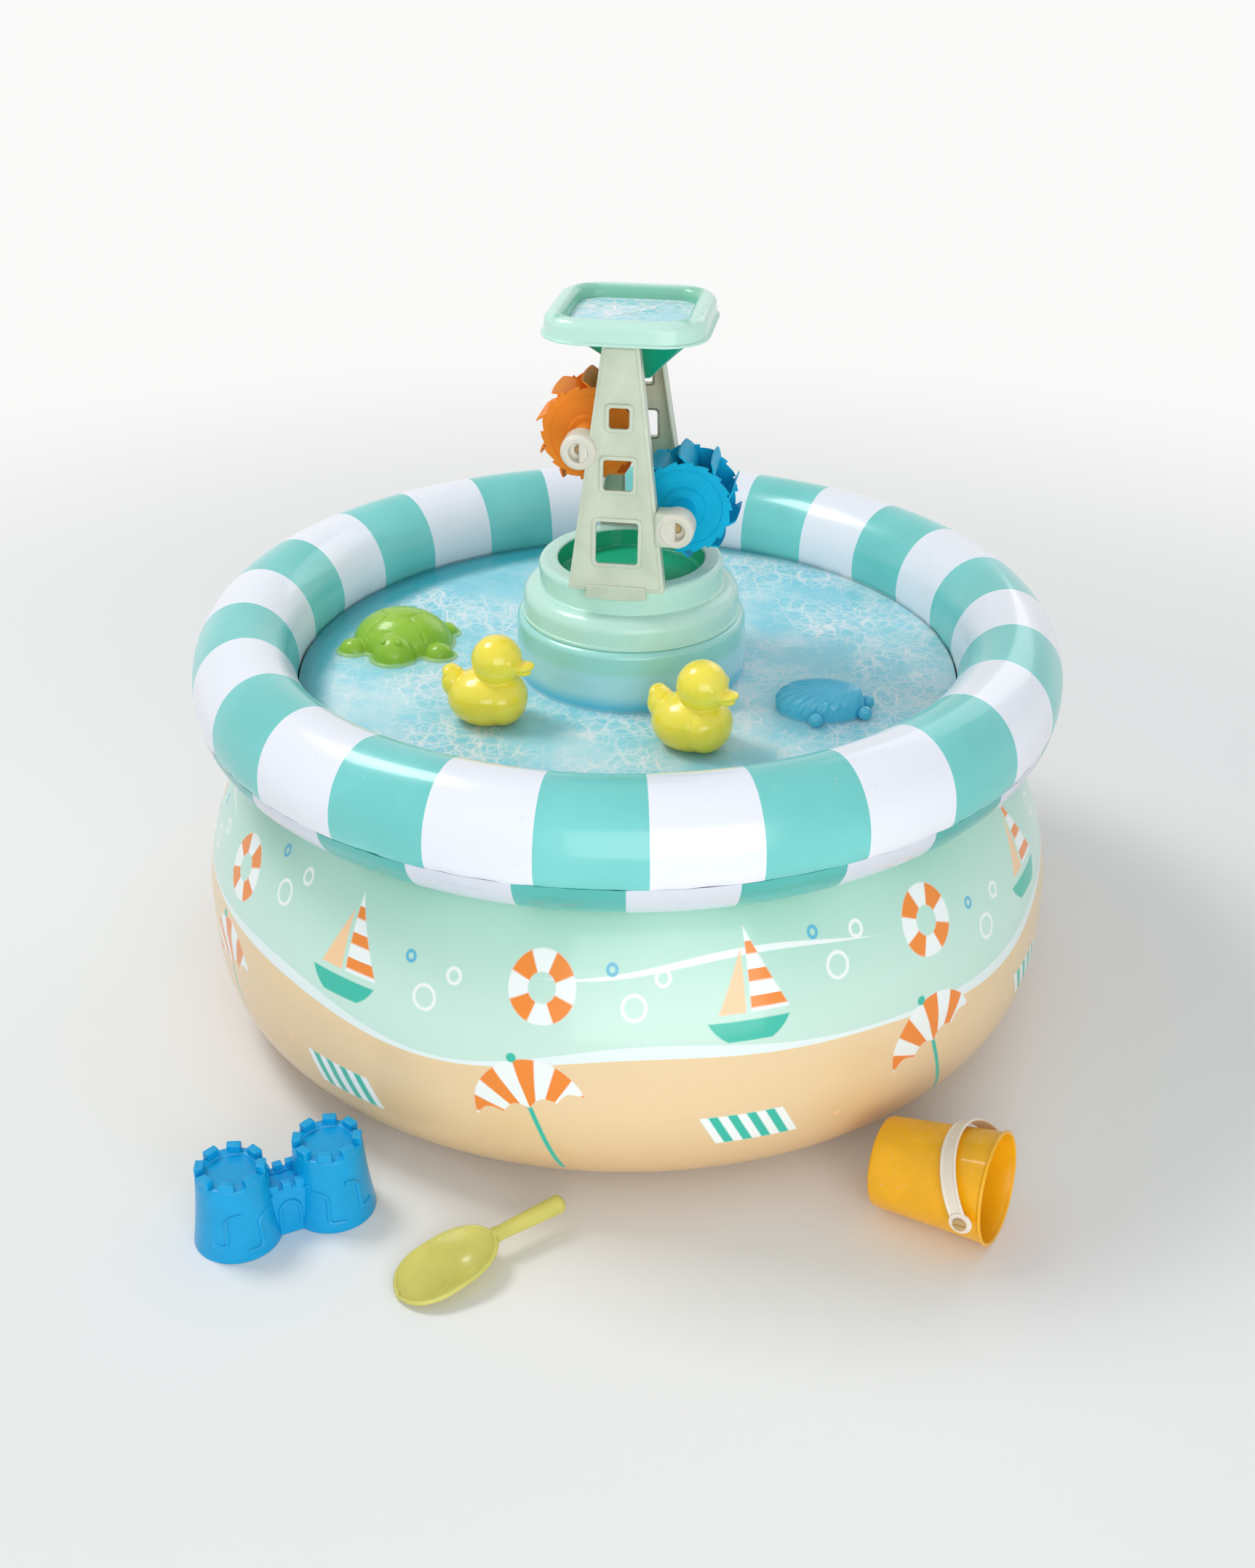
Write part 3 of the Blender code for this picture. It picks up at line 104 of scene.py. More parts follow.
class Recipe:
    def __init__(self, name, roughness=0.35, coat=0.0, **sockets):
        self.material = bpy.data.materials.new(name)
        self.material.use_nodes = True
        self.tree = self.material.node_tree
        self.shader = self.tree.nodes["Principled BSDF"]
        self.place = None
        self.set("Roughness", roughness)
        self.set("Coat Weight", coat)
        for socket, value in sockets.items():
            self.set(socket.replace("_", " "), value)

    def set(self, socket, value):
        self.join(self.shader.inputs[socket], value)

    def join(self, socket, value):  # a Term is linked, a web colour or a plain value is set
        if isinstance(value, Term):
            self.tree.links.new(value.socket, socket)
        else:
            socket.default_value = hexColour(value) if isinstance(value, str) else value

    def node(self, kind, **settings):
        return withSettings(self.tree.nodes.new(kind), settings)

    def sum(self, operation, *terms):
        made = self.node("ShaderNodeMath", operation=operation)
        for socket, value in zip(made.inputs, terms):
            self.join(socket, value)
        return Term(self, made.outputs[0])

    def least(self, *terms):
        return reduce(lambda a, b: self.sum("MINIMUM", a, b), terms)

    def most(self, *terms):
        return reduce(lambda a, b: self.sum("MAXIMUM", a, b), terms)

    def size(self, value):
        return self.sum("ABSOLUTE", value)

    def sine(self, value):
        return self.sum("SINE", value)

    def part(self, value):
        return self.sum("FRACT", value)

    def span(self, a, b):
        return self.sum("SQRT", a * a + b * b)

    def xyz(self):
        if self.place is None:
            coordinates = self.node("ShaderNodeTexCoord")
            split = self.node("ShaderNodeSeparateXYZ")
            self.tree.links.new(coordinates.outputs["Object"], split.inputs[0])
            self.place = [Term(self, socket) for socket in split.outputs]
            self.coordinates = Term(self, coordinates.outputs["Object"])
        return self.place

    def vector(self, x, y, z):
        made = self.node("ShaderNodeCombineXYZ")
        for socket, value in zip(made.inputs, (x, y, z)):
            self.join(socket, value)
        return Term(self, made.outputs[0])

    def bearing(self):  # angle round Z, 0 at the front and growing to the right
        x, y = self.xyz()[:2]
        return self.sum("ARCTAN2", x, 0 - y)

    def ramp(self, value, low, high, start=0.0, end=1.0):  # a smooth step between two values
        made = self.node("ShaderNodeMapRange", interpolation_type="SMOOTHSTEP")
        for name, given in zip(("Value", "From Min", "From Max", "To Min", "To Max"),
                               (value, low, high, start, end)):
            self.join(made.inputs[name], given)
        return Term(self, made.outputs[0])

    def inside(self, distance, soft=0.0006):  # 1 where a signed distance is below nought
        return self.ramp(distance, -soft, soft, 1.0, 0.0)

    def grain(self, scale, detail=2.0):
        self.xyz()
        made = self.node("ShaderNodeTexNoise")
        self.join(made.inputs["Vector"], self.coordinates)
        made.inputs["Scale"].default_value = scale
        made.inputs["Detail"].default_value = detail
        return Term(self, made.outputs[0])

    def cells(self, scale, vector, feature="F1"):
        made = self.node("ShaderNodeTexVoronoi", feature=feature)
        self.join(made.inputs["Vector"], vector)
        made.inputs["Scale"].default_value = scale
        return Term(self, made.outputs["Distance"])

    def blend(self, share, a, b):
        made = self.node("ShaderNodeMix", data_type="RGBA")
        self.join(made.inputs["Factor"], share)
        self.join(made.inputs[6], a)
        self.join(made.inputs[7], b)
        return Term(self, made.outputs[2])

    def bump(self, height, distance=0.001, strength=1.0):
        made = self.node("ShaderNodeBump")
        made.inputs["Distance"].default_value = distance
        made.inputs["Strength"].default_value = strength
        self.join(made.inputs["Height"], height)
        self.set("Normal", Term(self, made.outputs[0]))


faceFront = Matrix.Rotation(pi / 2, 4, "X")  # turns a shape's Z to the front, or to the right
faceRight = Matrix.Rotation(pi / 2, 4, "Y")


def standing(place, turn):
    return Matrix.Translation(place) @ Matrix.Rotation(radians(turn), 4, "Z")


def circle(radius, count, middle=(0.0, 0.0), squash=1.0):
    turns = spread(0, 2 * pi, count)[:-1]
    return [(middle[0] + radius * cos(a), middle[1] + radius * sin(a) * squash) for a in turns]


# Node trees
def added(tree, kind, **settings):
    return withSettings(tree.nodes.new(kind), settings)


def wired(tree, *pairs):
    for source, target in pairs:
        tree.links.new(source, target)


# Meshes
def meshOf(shape, name):
    mesh = bpy.data.meshes.new(name)
    shape.to_mesh(mesh)
    shape.free()
    return mesh


def linked(mesh, name):
    made = bpy.data.objects.new(name, mesh)
    pieces.objects.link(made)
    return made


def evaluated(piece):  # the piece's modifiers made into a plain mesh
    bpy.context.view_layer.update()
    graph = bpy.context.evaluated_depsgraph_get()
    mesh = bpy.data.meshes.new_from_object(piece.evaluated_get(graph))
    bpy.data.objects.remove(piece, do_unlink=True)
    return mesh


def modified(piece, kind, **settings):
    return withSettings(piece.modifiers.new(kind.lower(), kind), settings)


def finished(name, mesh, body, material, nodes=(), sharp=40.0, place=Matrix()):
    mesh.name = name
    mesh.transform(place)
    if material is not None:
        mesh.materials.clear()
        mesh.materials.append(material.material)
    mesh.shade_smooth()
    mesh.set_sharp_from_angle(angle=radians(sharp))
    piece = linked(mesh, name)
    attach(piece, body)
    if nodes:
        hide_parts(*nodes)
    return piece


def turned(section, sides, bend=None, tones=None):
    # a closed section round Z, bent by a rule; with tones it is an open line, one finish per face
    shape = bmesh.new()
    rows = []
    for step in range(sides):
        turn = 2 * pi * step / sides
        row = []
        for index, (radius, height) in enumerate(section):
            if bend:
                radius, height = bend(turn, index, radius, height)
            row.append(shape.verts.new((radius * cos(turn), radius * sin(turn), height)))
        rows.append(row)
    finishes = tones or [0] * len(section)
    for low, high in zip(rows, rows[1:] + rows[:1]):
        for index, tone in enumerate(finishes):
            after = (index + 1) % len(section)
            shape.faces.new((low[index], high[index], high[after], low[after])).material_index = tone
    bmesh.ops.remove_doubles(shape, verts=shape.verts, dist=1e-6)
    bmesh.ops.dissolve_degenerate(shape, edges=shape.edges, dist=1e-6)
    bmesh.ops.recalc_face_normals(shape, faces=shape.faces)
    return meshOf(shape, "turned")


def tangents(line):  # a line's direction at each of its points
    ends = zip(line[:1] + line, line[1:] + line[-1:])
    return [(Vector(after) - Vector(before)).normalized() for before, after in ends]


def skinned(line, thickness):  # a line's closed section: itself and a copy set to its left
    inner = [(r - along.y * thickness, z + along.x * thickness) for (r, z), along in zip(line, tangents(line))]
    return line + inner[::-1]


def rounded(points, radius, facets=4):  # a closed outline with its corners rounded
    made = []
    for index, corner in enumerate(points):
        corner = Vector(corner)
        before = (Vector(points[index - 1]) - corner).normalized()
        after = (Vector(points[(index + 1) % len(points)]) - corner).normalized()
        half = acos(max(-1.0, min(1.0, before.dot(after)))) / 2
        size = radius[index] if isinstance(radius, (list, tuple)) else radius
        if size <= 0 or half > pi / 2 - 0.02:
            made.append(tuple(corner))
            continue
        reach = size / tan(half)
        start, end = corner + before * reach, corner + after * reach
        middle = corner + (before + after).normalized() * (size / sin(half))
        first = atan2(start.y - middle.y, start.x - middle.x)
        turn = atan2(end.y - middle.y, end.x - middle.x) - first
        turn = (turn + pi) % (2 * pi) - pi
        for step in range(facets + 1):
            at = first + turn * step / facets
            made.append((middle.x + size * cos(at), middle.y + size * sin(at)))
    return made


def plate(outlines, thickness, edge=0.0, place=Matrix()):  # flat outlines with holes and softened edges
    curve = withSettings(bpy.data.curves.new("plate", "CURVE"), dict(
        dimensions="2D", fill_mode="BOTH", extrude=thickness / 2 - edge, bevel_depth=edge, bevel_resolution=3,
        offset=-edge))
    for outline in outlines:
        spline = curve.splines.new("POLY")
        spline.points.add(len(outline) - 1)
        for point, (x, y) in zip(spline.points, outline):
            point.co = (x, y, 0, 1)
        spline.use_cyclic_u = True
    mesh = evaluated(linked(curve, "plate"))
    mesh.transform(place)
    shape = bmesh.new()
    shape.from_mesh(mesh)
    bmesh.ops.remove_doubles(shape, verts=shape.verts, dist=1e-6)
    bmesh.ops.recalc_face_normals(shape, faces=shape.faces)
    shape.to_mesh(mesh)
    shape.free()
    return mesh


def lofted(loops, ring=False, capped=True):  # a skin over loops of equal count
    shape = bmesh.new()
    rows = [[shape.verts.new(point) for point in loop] for loop in loops]
    for low, high in zip(rows, rows[1:] + (rows[:1] if ring else [])):
        for index in range(len(low)):
            after = (index + 1) % len(low)
            shape.faces.new((low[index], low[after], high[after], high[index]))
    if capped and not ring:
        shape.faces.new(rows[0])
        shape.faces.new(rows[-1])
    bmesh.ops.remove_doubles(shape, verts=shape.verts, dist=1e-7)
    bmesh.ops.recalc_face_normals(shape, faces=shape.faces)
    return meshOf(shape, "loft")


def gathered(meshes):  # several closed shells in one mesh
    shape = bmesh.new()
    for mesh in meshes:
        shape.from_mesh(mesh)
    return meshOf(shape, "gathered")


def ellipsoid(centre, radii, sides=32):
    shape = bmesh.new()
    place = Matrix.Translation(centre) @ Matrix.Diagonal((*radii, 1))
    bmesh.ops.create_uvsphere(shape, u_segments=sides, v_segments=sides // 2, radius=1, matrix=place)
    return meshOf(shape, "ellipsoid")


def fused(meshes, voxel, smooth=0):  # overlapping shells melted into one skin
    piece = linked(gathered(meshes), "fused")
    modified(piece, "REMESH", mode="VOXEL", voxel_size=voxel)
    if smooth:
        modified(piece, "SMOOTH", factor=0.5, iterations=smooth)
    return evaluated(piece)


def ringNoise(turn, waves, seed):  # a smooth random value that closes on itself round a circle
    reach = waves / (2 * pi)
    return noise.noise(Vector((cos(turn) * reach, sin(turn) * reach, seed)))


# Finishes shared by the moulded toys: a flat tint, fine mottle and a slight orange peel
def moulded(name, code, roughness=0.34, coat=0.15, mottle=0.05, **sockets):
    recipe = Recipe(name, roughness, coat, **dict(dict(Specular_IOR_Level=0.3), **sockets))
    tint = hexColour(code)
    shade = tuple(c * (1 - mottle * 2) for c in tint[:3]) + (1.0,)
    cloud = recipe.grain(38.0, 3.0)
    recipe.set("Base Color", recipe.blend(recipe.ramp(cloud, 0.3, 0.75), shade, tint))
    recipe.set("Roughness", recipe.ramp(cloud, 0.25, 0.8, roughness * 0.85, roughness * 1.2))
    recipe.bump(recipe.grain(420.0), 0.00012, 0.6)
    return recipe


# Striped air ring: two films welded at an outer and an inner seam
ring = dict(radius=0.4135, halfWidth=0.0565, halfHeight=0.066, centre=0.396, outerSeam=-17.0, innerSeam=197.0,
            film=0.0008, sides=288, upperFacets=44, lowerFacets=22, seamDrop=0.0006, stripes=14, stripeTurn=-4.0,
            lowerTurn=-2.6, colours=("7AD6D2", "6CCBC6", "EFF2FA"), lowerColours=("55BDB6", "48B0A8", "DADFEA"),
            pucker=0.0011, puckerWaves=150, puckerReach=0.013, sway=0.0012, weldDip=0.0013, weldReach=0.0022)


def ringPoint(angle):
    turn = radians(angle)
    return (ring["radius"] + ring["halfWidth"] * cos(turn), ring["centre"] + ring["halfHeight"] * sin(turn))


def filmPiece(line, thickness, sides, seed, pucker, waves, reach, sway, dip=0.0, dipReach=1.0, ends=(1.0, 1.0)):
    # a revolved film with puckers that fade away from its two welded edges
    lengths = [0.0]
    for a, b in zip(line, line[1:]):
        lengths.append(lengths[-1] + hypot(b[0] - a[0], b[1] - a[1]))
    outward = [(along.y, -along.x) for along in tangents(line)]
    count = len(line)

    def bend(turn, index, radius, height):
        at = index if index < count else 2 * count - 1 - index
        first, last = lengths[at], lengths[-1] - lengths[at]
        near = ends[0] * exp(-first / reach) + ends[1] * exp(-last / reach)
        fold = ringNoise(turn, waves, seed) + 0.5 * ringNoise(turn, waves * 2.3, seed + 4)
        long = ringNoise(turn, 9, seed + 9 + 3 * lengths[at])
        press = dip * (exp(-first / dipReach) + exp(-last / dipReach))
        push = pucker * near * fold + sway * long * (1 - min(near, 1.0)) - sway - press
        return radius + outward[at][0] * push, height + outward[at][1] * push

    return turned(skinned(line, thickness), sides, bend)


def filmFinish(recipe, cloud, roughness, ripple):  # the gloss and slight ripple of a blown film
    recipe.set("Roughness", recipe.ramp(cloud, 0.2, 0.8, *roughness))
    recipe.bump(recipe.grain(ripple) + 0.12 * recipe.grain(600.0), 0.00035, 0.5)
    return recipe


def stripedFilm(name, turn, colours):
    recipe = Recipe(name, 0.24, 0.35, Coat_Roughness=0.07, Specular_IOR_Level=0.45)
    pitch = 2 * pi / ring["stripes"]
    phase = recipe.part((recipe.bearing() - radians(turn)) / pitch + 10.25)
    teal = recipe.ramp(recipe.size(phase - 0.25), 0.2475, 0.2525, 1.0, 0.0)
    cloud = recipe.grain(9.0, 3.0)
    tint = recipe.blend(recipe.ramp(cloud, 0.3, 0.75), colours[1], colours[0])
    recipe.set("Base Color", recipe.blend(teal, colours[2], tint))
    return filmFinish(recipe, cloud, (0.19, 0.30), 26.0)


upperLine = [ringPoint(a) for a in spread(ring["outerSeam"], ring["innerSeam"], ring["upperFacets"])]
lowerLine = [ringPoint(a) for a in spread(ring["innerSeam"], 360 + ring["outerSeam"], ring["lowerFacets"])]
lowerLine = [(r, z - ring["seamDrop"]) for r, z in lowerLine]
ringShape = [ring[k] for k in ("pucker", "puckerWaves", "puckerReach", "sway", "weldDip", "weldReach")]
# the lower film takes darker colours than the upper: painted shade on the ring's underside
for half, line, seed, turn, colours in (
        ("upper", upperLine, 1.7, ring["stripeTurn"], ring["colours"]),
        ("lower", lowerLine, 5.3, ring["stripeTurn"] + ring["lowerTurn"], ring["lowerColours"])):
    film = filmPiece(line, ring["film"], ring["sides"], seed, *ringShape)
    piece = finished("ring_" + half, film, "pool", stripedFilm("striped film, " + half, turn, colours),
                     [f"ring_{half}_film"], 60)
print("ring done")

# Drum wall with its printed shore, and the base sheet below it
drum = dict(radius=0.4746, bulge=0.1623, baseRadius=0.330, flatRadius=0.230, lowerPower=3.84, upperPower=1.45,
            seamAngle=240.0, film=0.0008, sides=288, facets=30, pucker=0.0024, puckerWaves=74, puckerReach=0.030,
            sway=0.0014, overlap=0.003)
shore = dict(mint="CBEBDD", mintDeep="ABDDCA", sand="EFD2A4", sandDeep="DDB783", foam="E9F6F4", height=0.186,
             wave=0.012, white="F4FAF8", teal="2FBFA8", orange="F58A25", peach="FBCF9F", blue="5BB8D6", reach=0.462)
# motifs of the print: how many, first turn, height, hop and scale, then their outlines
motifs = dict(boat=(7, 0.22, 0.222, 0.007, 1.75), buoy=(7, 0.70, 0.254, 0.010, 1.75),
              bubble=(14, 0.47, 0.240, 0.020, 1.5), parasol=(7, 0.72, 0.132, 0.006, 1.7),
              towel=(7, 0.22, 0.105, 0.010, 1.7))
shapes = dict(hull=(0.0, 0.012, 0.026), keel=-0.011, sail=((0.0015, 0.004), (0.0235, 0.004), (0.0015, 0.046)),
              jib=((-0.017, 0.004), (-0.0015, 0.004), (-0.0015, 0.036)), sailStripes=75.0, buoy=0.0135,
              buoyHalf=0.0056, bubbles=((0.0, 0.0, 0.0075), (0.019, 0.017, 0.0045), (-0.014, 0.022, 0.0030)),
              bubbleRim=0.0011, smallBubble=0.004, lean=0.32, pole=0.0014, poleTop=0.010, poleFoot=-0.052,
              canopy=0.032, scallop=0.0045, scallops=196.0, knob=(0.0, 0.0335, 0.0028), towelHalf=0.024,
              towelHigh=0.010, towelSlant=0.5, towelBands=92.0, pebbles=21.0, pebble=0.10, pebbleZ=(0.05, 0.155))


def drumLine():
    wide = drum["radius"] - drum["flatRadius"]
    sine = ((drum["baseRadius"] - drum["flatRadius"]) / wide) ** (drum["lowerPower"] / 2)
    start = atan2(sine, sqrt(1 - sine * sine))
    line = []
    for turn in spread(start, pi / 2, drum["facets"]):
        line.append((drum["flatRadius"] + wide * sin(turn) ** (2 / drum["lowerPower"]),
                     drum["bulge"] * (1 - max(cos(turn), 0) ** (2 / drum["lowerPower"]))))
    seamR, seamZ = ringPoint(drum["seamAngle"])
    seamZ -= 2 * ring["seamDrop"]
    for turn in spread(0, pi / 2, drum["facets"])[1:]:
        line.append((seamR + (drum["radius"] - seamR) * max(cos(turn), 0) ** (2 / drum["upperPower"]),
                     drum["bulge"] + (seamZ - drum["bulge"]) * sin(turn) ** (2 / drum["upperPower"])))
    return line


def printedShore():
    recipe = Recipe("printed shore film", 0.26, 0.3, Coat_Roughness=0.08, Specular_IOR_Level=0.45)
    z = recipe.xyz()[2]
    bearing = recipe.bearing()
    cloud = recipe.grain(7.0, 3.0)
    waved = recipe.sine(bearing * 5 + 0.7) * shore["wave"] + recipe.sine(bearing * 9 + 2.0) * 0.004
    above = z - (waved + shore["height"])  # height above the shoreline
    mint = recipe.blend(recipe.ramp(z, 0.20, 0.34), shore["mint"], shore["mintDeep"])
    sand = recipe.blend(recipe.ramp(z, 0.02, 0.15), shore["sandDeep"], shore["sand"])
    colour = recipe.blend(recipe.inside(0 - above), sand, mint)

    def paint(share, code):
        return recipe.blend(share, colour, code)

    # foam along the shore, thick and thin in turn, and a swell drawn above it
    foam = recipe.sine(bearing * 7 + 1.1) * 0.0022 + 0.0042
    colour = paint(recipe.inside(recipe.size(above) - foam), shore["foam"])
    swell = z - (recipe.sine(bearing * 7 - 0.4) * 0.010 + 0.272)
    width = recipe.sine(bearing * 3.5 + 0.9) * 0.0042 - 0.0010
    colour = paint(recipe.inside(recipe.size(swell) - width), shore["white"])

    def cell(motif):  # places round the drum: local right and up, in metres over the motif's scale
        count, turn, height, hop, size = motifs[motif]
        share = bearing * (count / (2 * pi)) + turn
        index = recipe.sum("FLOOR", share)
        right = (share - index - 0.5) * (2 * pi * shore["reach"] / count / size)
        lift = recipe.sine(index * 2.4) * hop
        return right, (z - (lift + height)) / size

    def disc(right, up, x0, y0, radius):
        dx, dy = right - x0, up - y0
        return recipe.span(dx, dy) - radius

    def slope(right, up, ax, ay, bx, by):  # signed distance from the line a to b, above nought on its left
        size = hypot(bx - ax, by - ay)
        return (right - ax) * (-(by - ay) / size) + (up - ay) * ((bx - ax) / size)

    def wedge(right, up, corners):  # a convex outline given anticlockwise
        sides = [0 - slope(right, up, *a, *b) for a, b in zip(corners, corners[1:] + corners[:1])]
        return recipe.most(*sides)

    def banded(outline, gap, first, second):  # a motif in one colour, with bands of another where gap is below nought
        inner = recipe.blend(recipe.inside(outline), colour, shore[first])
        return recipe.blend(recipe.inside(recipe.most(outline, gap)), inner, shore[second])

    # sailing boats on the mint water
    m = shapes
    right, up = cell("boat")
    hull = recipe.most(disc(right, up, *m["hull"]), up, m["keel"] - up)
    colour = paint(recipe.inside(hull), shore["teal"])
    stripe = recipe.part(up * m["sailStripes"] + 0.1)
    colour = banded(wedge(right, up, m["sail"]), (0.55 - stripe) * 0.01, "white", "orange")
    colour = paint(recipe.inside(wedge(right, up, m["jib"])), shore["peach"])
    # lifebuoys and small bubbles between them
    right, up = cell("buoy")
    buoy = recipe.size(disc(right, up, 0.0, 0.0, m["buoy"])) - m["buoyHalf"]
    sector = recipe.size(recipe.part(recipe.sum("ARCTAN2", right, up) * (2 / pi)) - 0.5) - 0.25
    colour = banded(buoy, sector * 0.02, "white", "orange")
    right, up = cell("bubble")
    for bubble in m["bubbles"]:
        rim = recipe.size(disc(right, up, *bubble)) - m["bubbleRim"]
        colour = paint(recipe.inside(rim), shore["white" if bubble[2] > m["smallBubble"] else "blue"])
    # parasols planted in the sand
    right, up = cell("parasol")
    c, d = cos(m["lean"]), sin(m["lean"])
    across, high = right * c + up * d, up * c - right * d
    pole = recipe.most(recipe.size(across) - m["pole"], high - m["poleTop"], m["poleFoot"] - high)
    colour = paint(recipe.inside(pole), shore["teal"])
    scallop = recipe.size(recipe.sine(across * m["scallops"])) * m["scallop"]
    canopy = recipe.most(disc(across, high, 0.0, 0.0, m["canopy"]), scallop - high)
    gores = recipe.part(recipe.sum("ARCTAN2", across, high + 0.012) * 1.75 + 0.25)
    colour = banded(canopy, (recipe.size(gores - 0.5) - 0.25) * 0.02, "white", "orange")
    colour = paint(recipe.inside(disc(across, high, *m["knob"])), shore["teal"])
    # folded towels and round pebbles on the sand
    right, up = cell("towel")
    along = right + up * m["towelSlant"]
    towel = recipe.most(recipe.size(along) - m["towelHalf"], recipe.size(up) - m["towelHigh"])
    bands = recipe.size(recipe.part(along * m["towelBands"]) - 0.5) - 0.25
    colour = banded(towel, bands * 0.01, "white", "teal")
    gap = recipe.cells(m["pebbles"], recipe.vector(bearing * shore["reach"], z * 1.5, 0.0))
    low, top = m["pebbleZ"]
    pebble = recipe.most((gap - m["pebble"]) * 0.03, z - top, low - z)
    colour = paint(recipe.inside(pebble), shore["peach"])

    recipe.set("Base Color", colour)
    return filmFinish(recipe, cloud, (0.21, 0.33), 22.0)


wallMesh = filmPiece(drumLine(), drum["film"], drum["sides"], 8.1, drum["pucker"], drum["puckerWaves"],
                     drum["puckerReach"], drum["sway"], 0.0, 1.0, (0.55, 1.0))
wall = finished("drum_wall", wallMesh, "pool", printedShore(), ["side_wall"], 60)

baseEdge = drum["baseRadius"] + drum["overlap"]
sandFilm = moulded("sand film", shore["sandDeep"], 0.3, 0.25)
baseMesh = turned([(0.0, drum["film"]), (baseEdge, drum["film"]), (baseEdge, 0.0), (0.0, 0.0)], 144)
finished("base_film", baseMesh, "pool", sandFilm, ["base_sheet"])

# Clear bands inside the drum, waisted where the air pulls them tight
bands = dict(count=6, width=0.120, middle=0.200, waist=0.012, foot=0.0012, top=0.3788, facets=14)
clearFilm = moulded("clear film", "EDF2F2", 0.18, 0.3, 0.02)


def bandMesh(turn):
    loops = []
    for height in spread(bands["foot"], bands["top"], bands["facets"]):
        rise = (height - bands["foot"]) / (bands["top"] - bands["foot"])
        half = bands["width"] / 2 - bands["waist"] * sin(pi * rise) ** 2
        corners = [(half, -1), (half, 1), (-half, 1), (-half, -1)]
        loops.append([Vector((bands["middle"] + a, b * drum["film"] / 2, height)) for a, b in corners])
    mesh = lofted(loops)
    mesh.transform(Matrix.Rotation(turn, 4, "Z"))
    return mesh


bandMeshes = [bandMesh(2 * pi * n / bands["count"]) for n in range(bands["count"])]
finished("floor_bands", gathered(bandMeshes), "pool", clearFilm,
         [f"floor_tie_{n + 1}" for n in range(bands["count"])])
print("drum done")

# Basin floor, pedestal and the water in the basin
basin = dict(floor=0.380, film=0.0008, airHole=0.060, edge=0.3585, sides=180, pale="B6F1FA", aqua="7ADCEE",
             deep="1FA8B8", light="FFFFFF", rings=46)
pedestal = dict(radius=0.1235, gap=0.0003, bulge=0.0012, bulgeZ=0.412, round=0.008, top=0.4477, neck=0.100,
                neckEnd=0.4768, collar=(0.0950, 0.4770), crown=0.0920, neckTop=0.4830, film=0.0008, sides=144,
                mint="A2E0D8", blue="B6E8EF", deep="66C8E4", bandFoot=0.423, bandSoft=0.006)
water = dict(level=0.3834, edge=0.3580, inner=0.1231, depth=0.0022, rings=84, sides=288, chop=0.0007, swell=0.0009,
             swellWaves=150, swellFade=0.09, tint="B4F0F9", alpha=0.22, spot=0.0007, spotWaves=420, spotFade=0.022,
             spots=((-0.032, -0.172), (0.135, -0.226), (0.215, 0.02)))
towerPlace = Matrix.Translation((0.004, 0, 0)) @ Matrix.Rotation(radians(-9.0), 4, "Z")


def waterlight(recipe, colour, strength):  # bright wandering lines, as the sun draws through ripples
    x, y = recipe.xyz()[:2]
    drift = recipe.grain(21.0) * 0.028
    flow = recipe.vector(x + drift, y - drift, drift)
    soft = recipe.ramp(recipe.grain(17.0, 3.0), 0.44, 0.66)
    lines = recipe.blend(soft * (0.40 * strength), colour, basin["light"])
    for scale, width, share in ((40.0, 0.075, 1.0), (76.0, 0.12, 0.80)):
        gap = recipe.cells(scale, flow, "DISTANCE_TO_EDGE")
        patch = recipe.ramp(recipe.grain(9.0), 0.36, 0.58, 0.15, 1.0)
        bright = recipe.ramp(gap, 0.0, width, 1.0, 0.0) * patch * (share * strength)
        lines = recipe.blend(bright, lines, basin["light"])
    return lines


def shaded(recipe, colour):  # deep teal at the left and rear rim, in the shade of the ring
    x, y = recipe.xyz()[:2]
    radius = recipe.span(x, y)
    edge = recipe.ramp(radius - x * 0.10 + y * 0.09 + (recipe.grain(13.0) - 0.5) * 0.02, 0.344, 0.372)
    return recipe.blend(edge * 0.92, colour, basin["deep"])


def basinFilm():
    recipe = Recipe("basin film", 0.3, 0.2)
    cloud = recipe.grain(6.0, 3.0)
    colour = recipe.blend(recipe.ramp(cloud, 0.35, 0.68), basin["aqua"], basin["pale"])
    recipe.set("Base Color", shaded(recipe, waterlight(recipe, colour, 1.0)))
    recipe.bump(recipe.grain(30.0), 0.001, 0.4)
    return recipe


def basinFloorMesh():
    top = [(r, basin["floor"]) for r in spread(basin["airHole"], basin["edge"], basin["rings"])]
    return turned(top + [(r, z - basin["film"]) for r, z in top[::-1]], basin["sides"])


finished("basin_film", basinFloorMesh(), "pool", basinFilm(), ["basin_floor"])


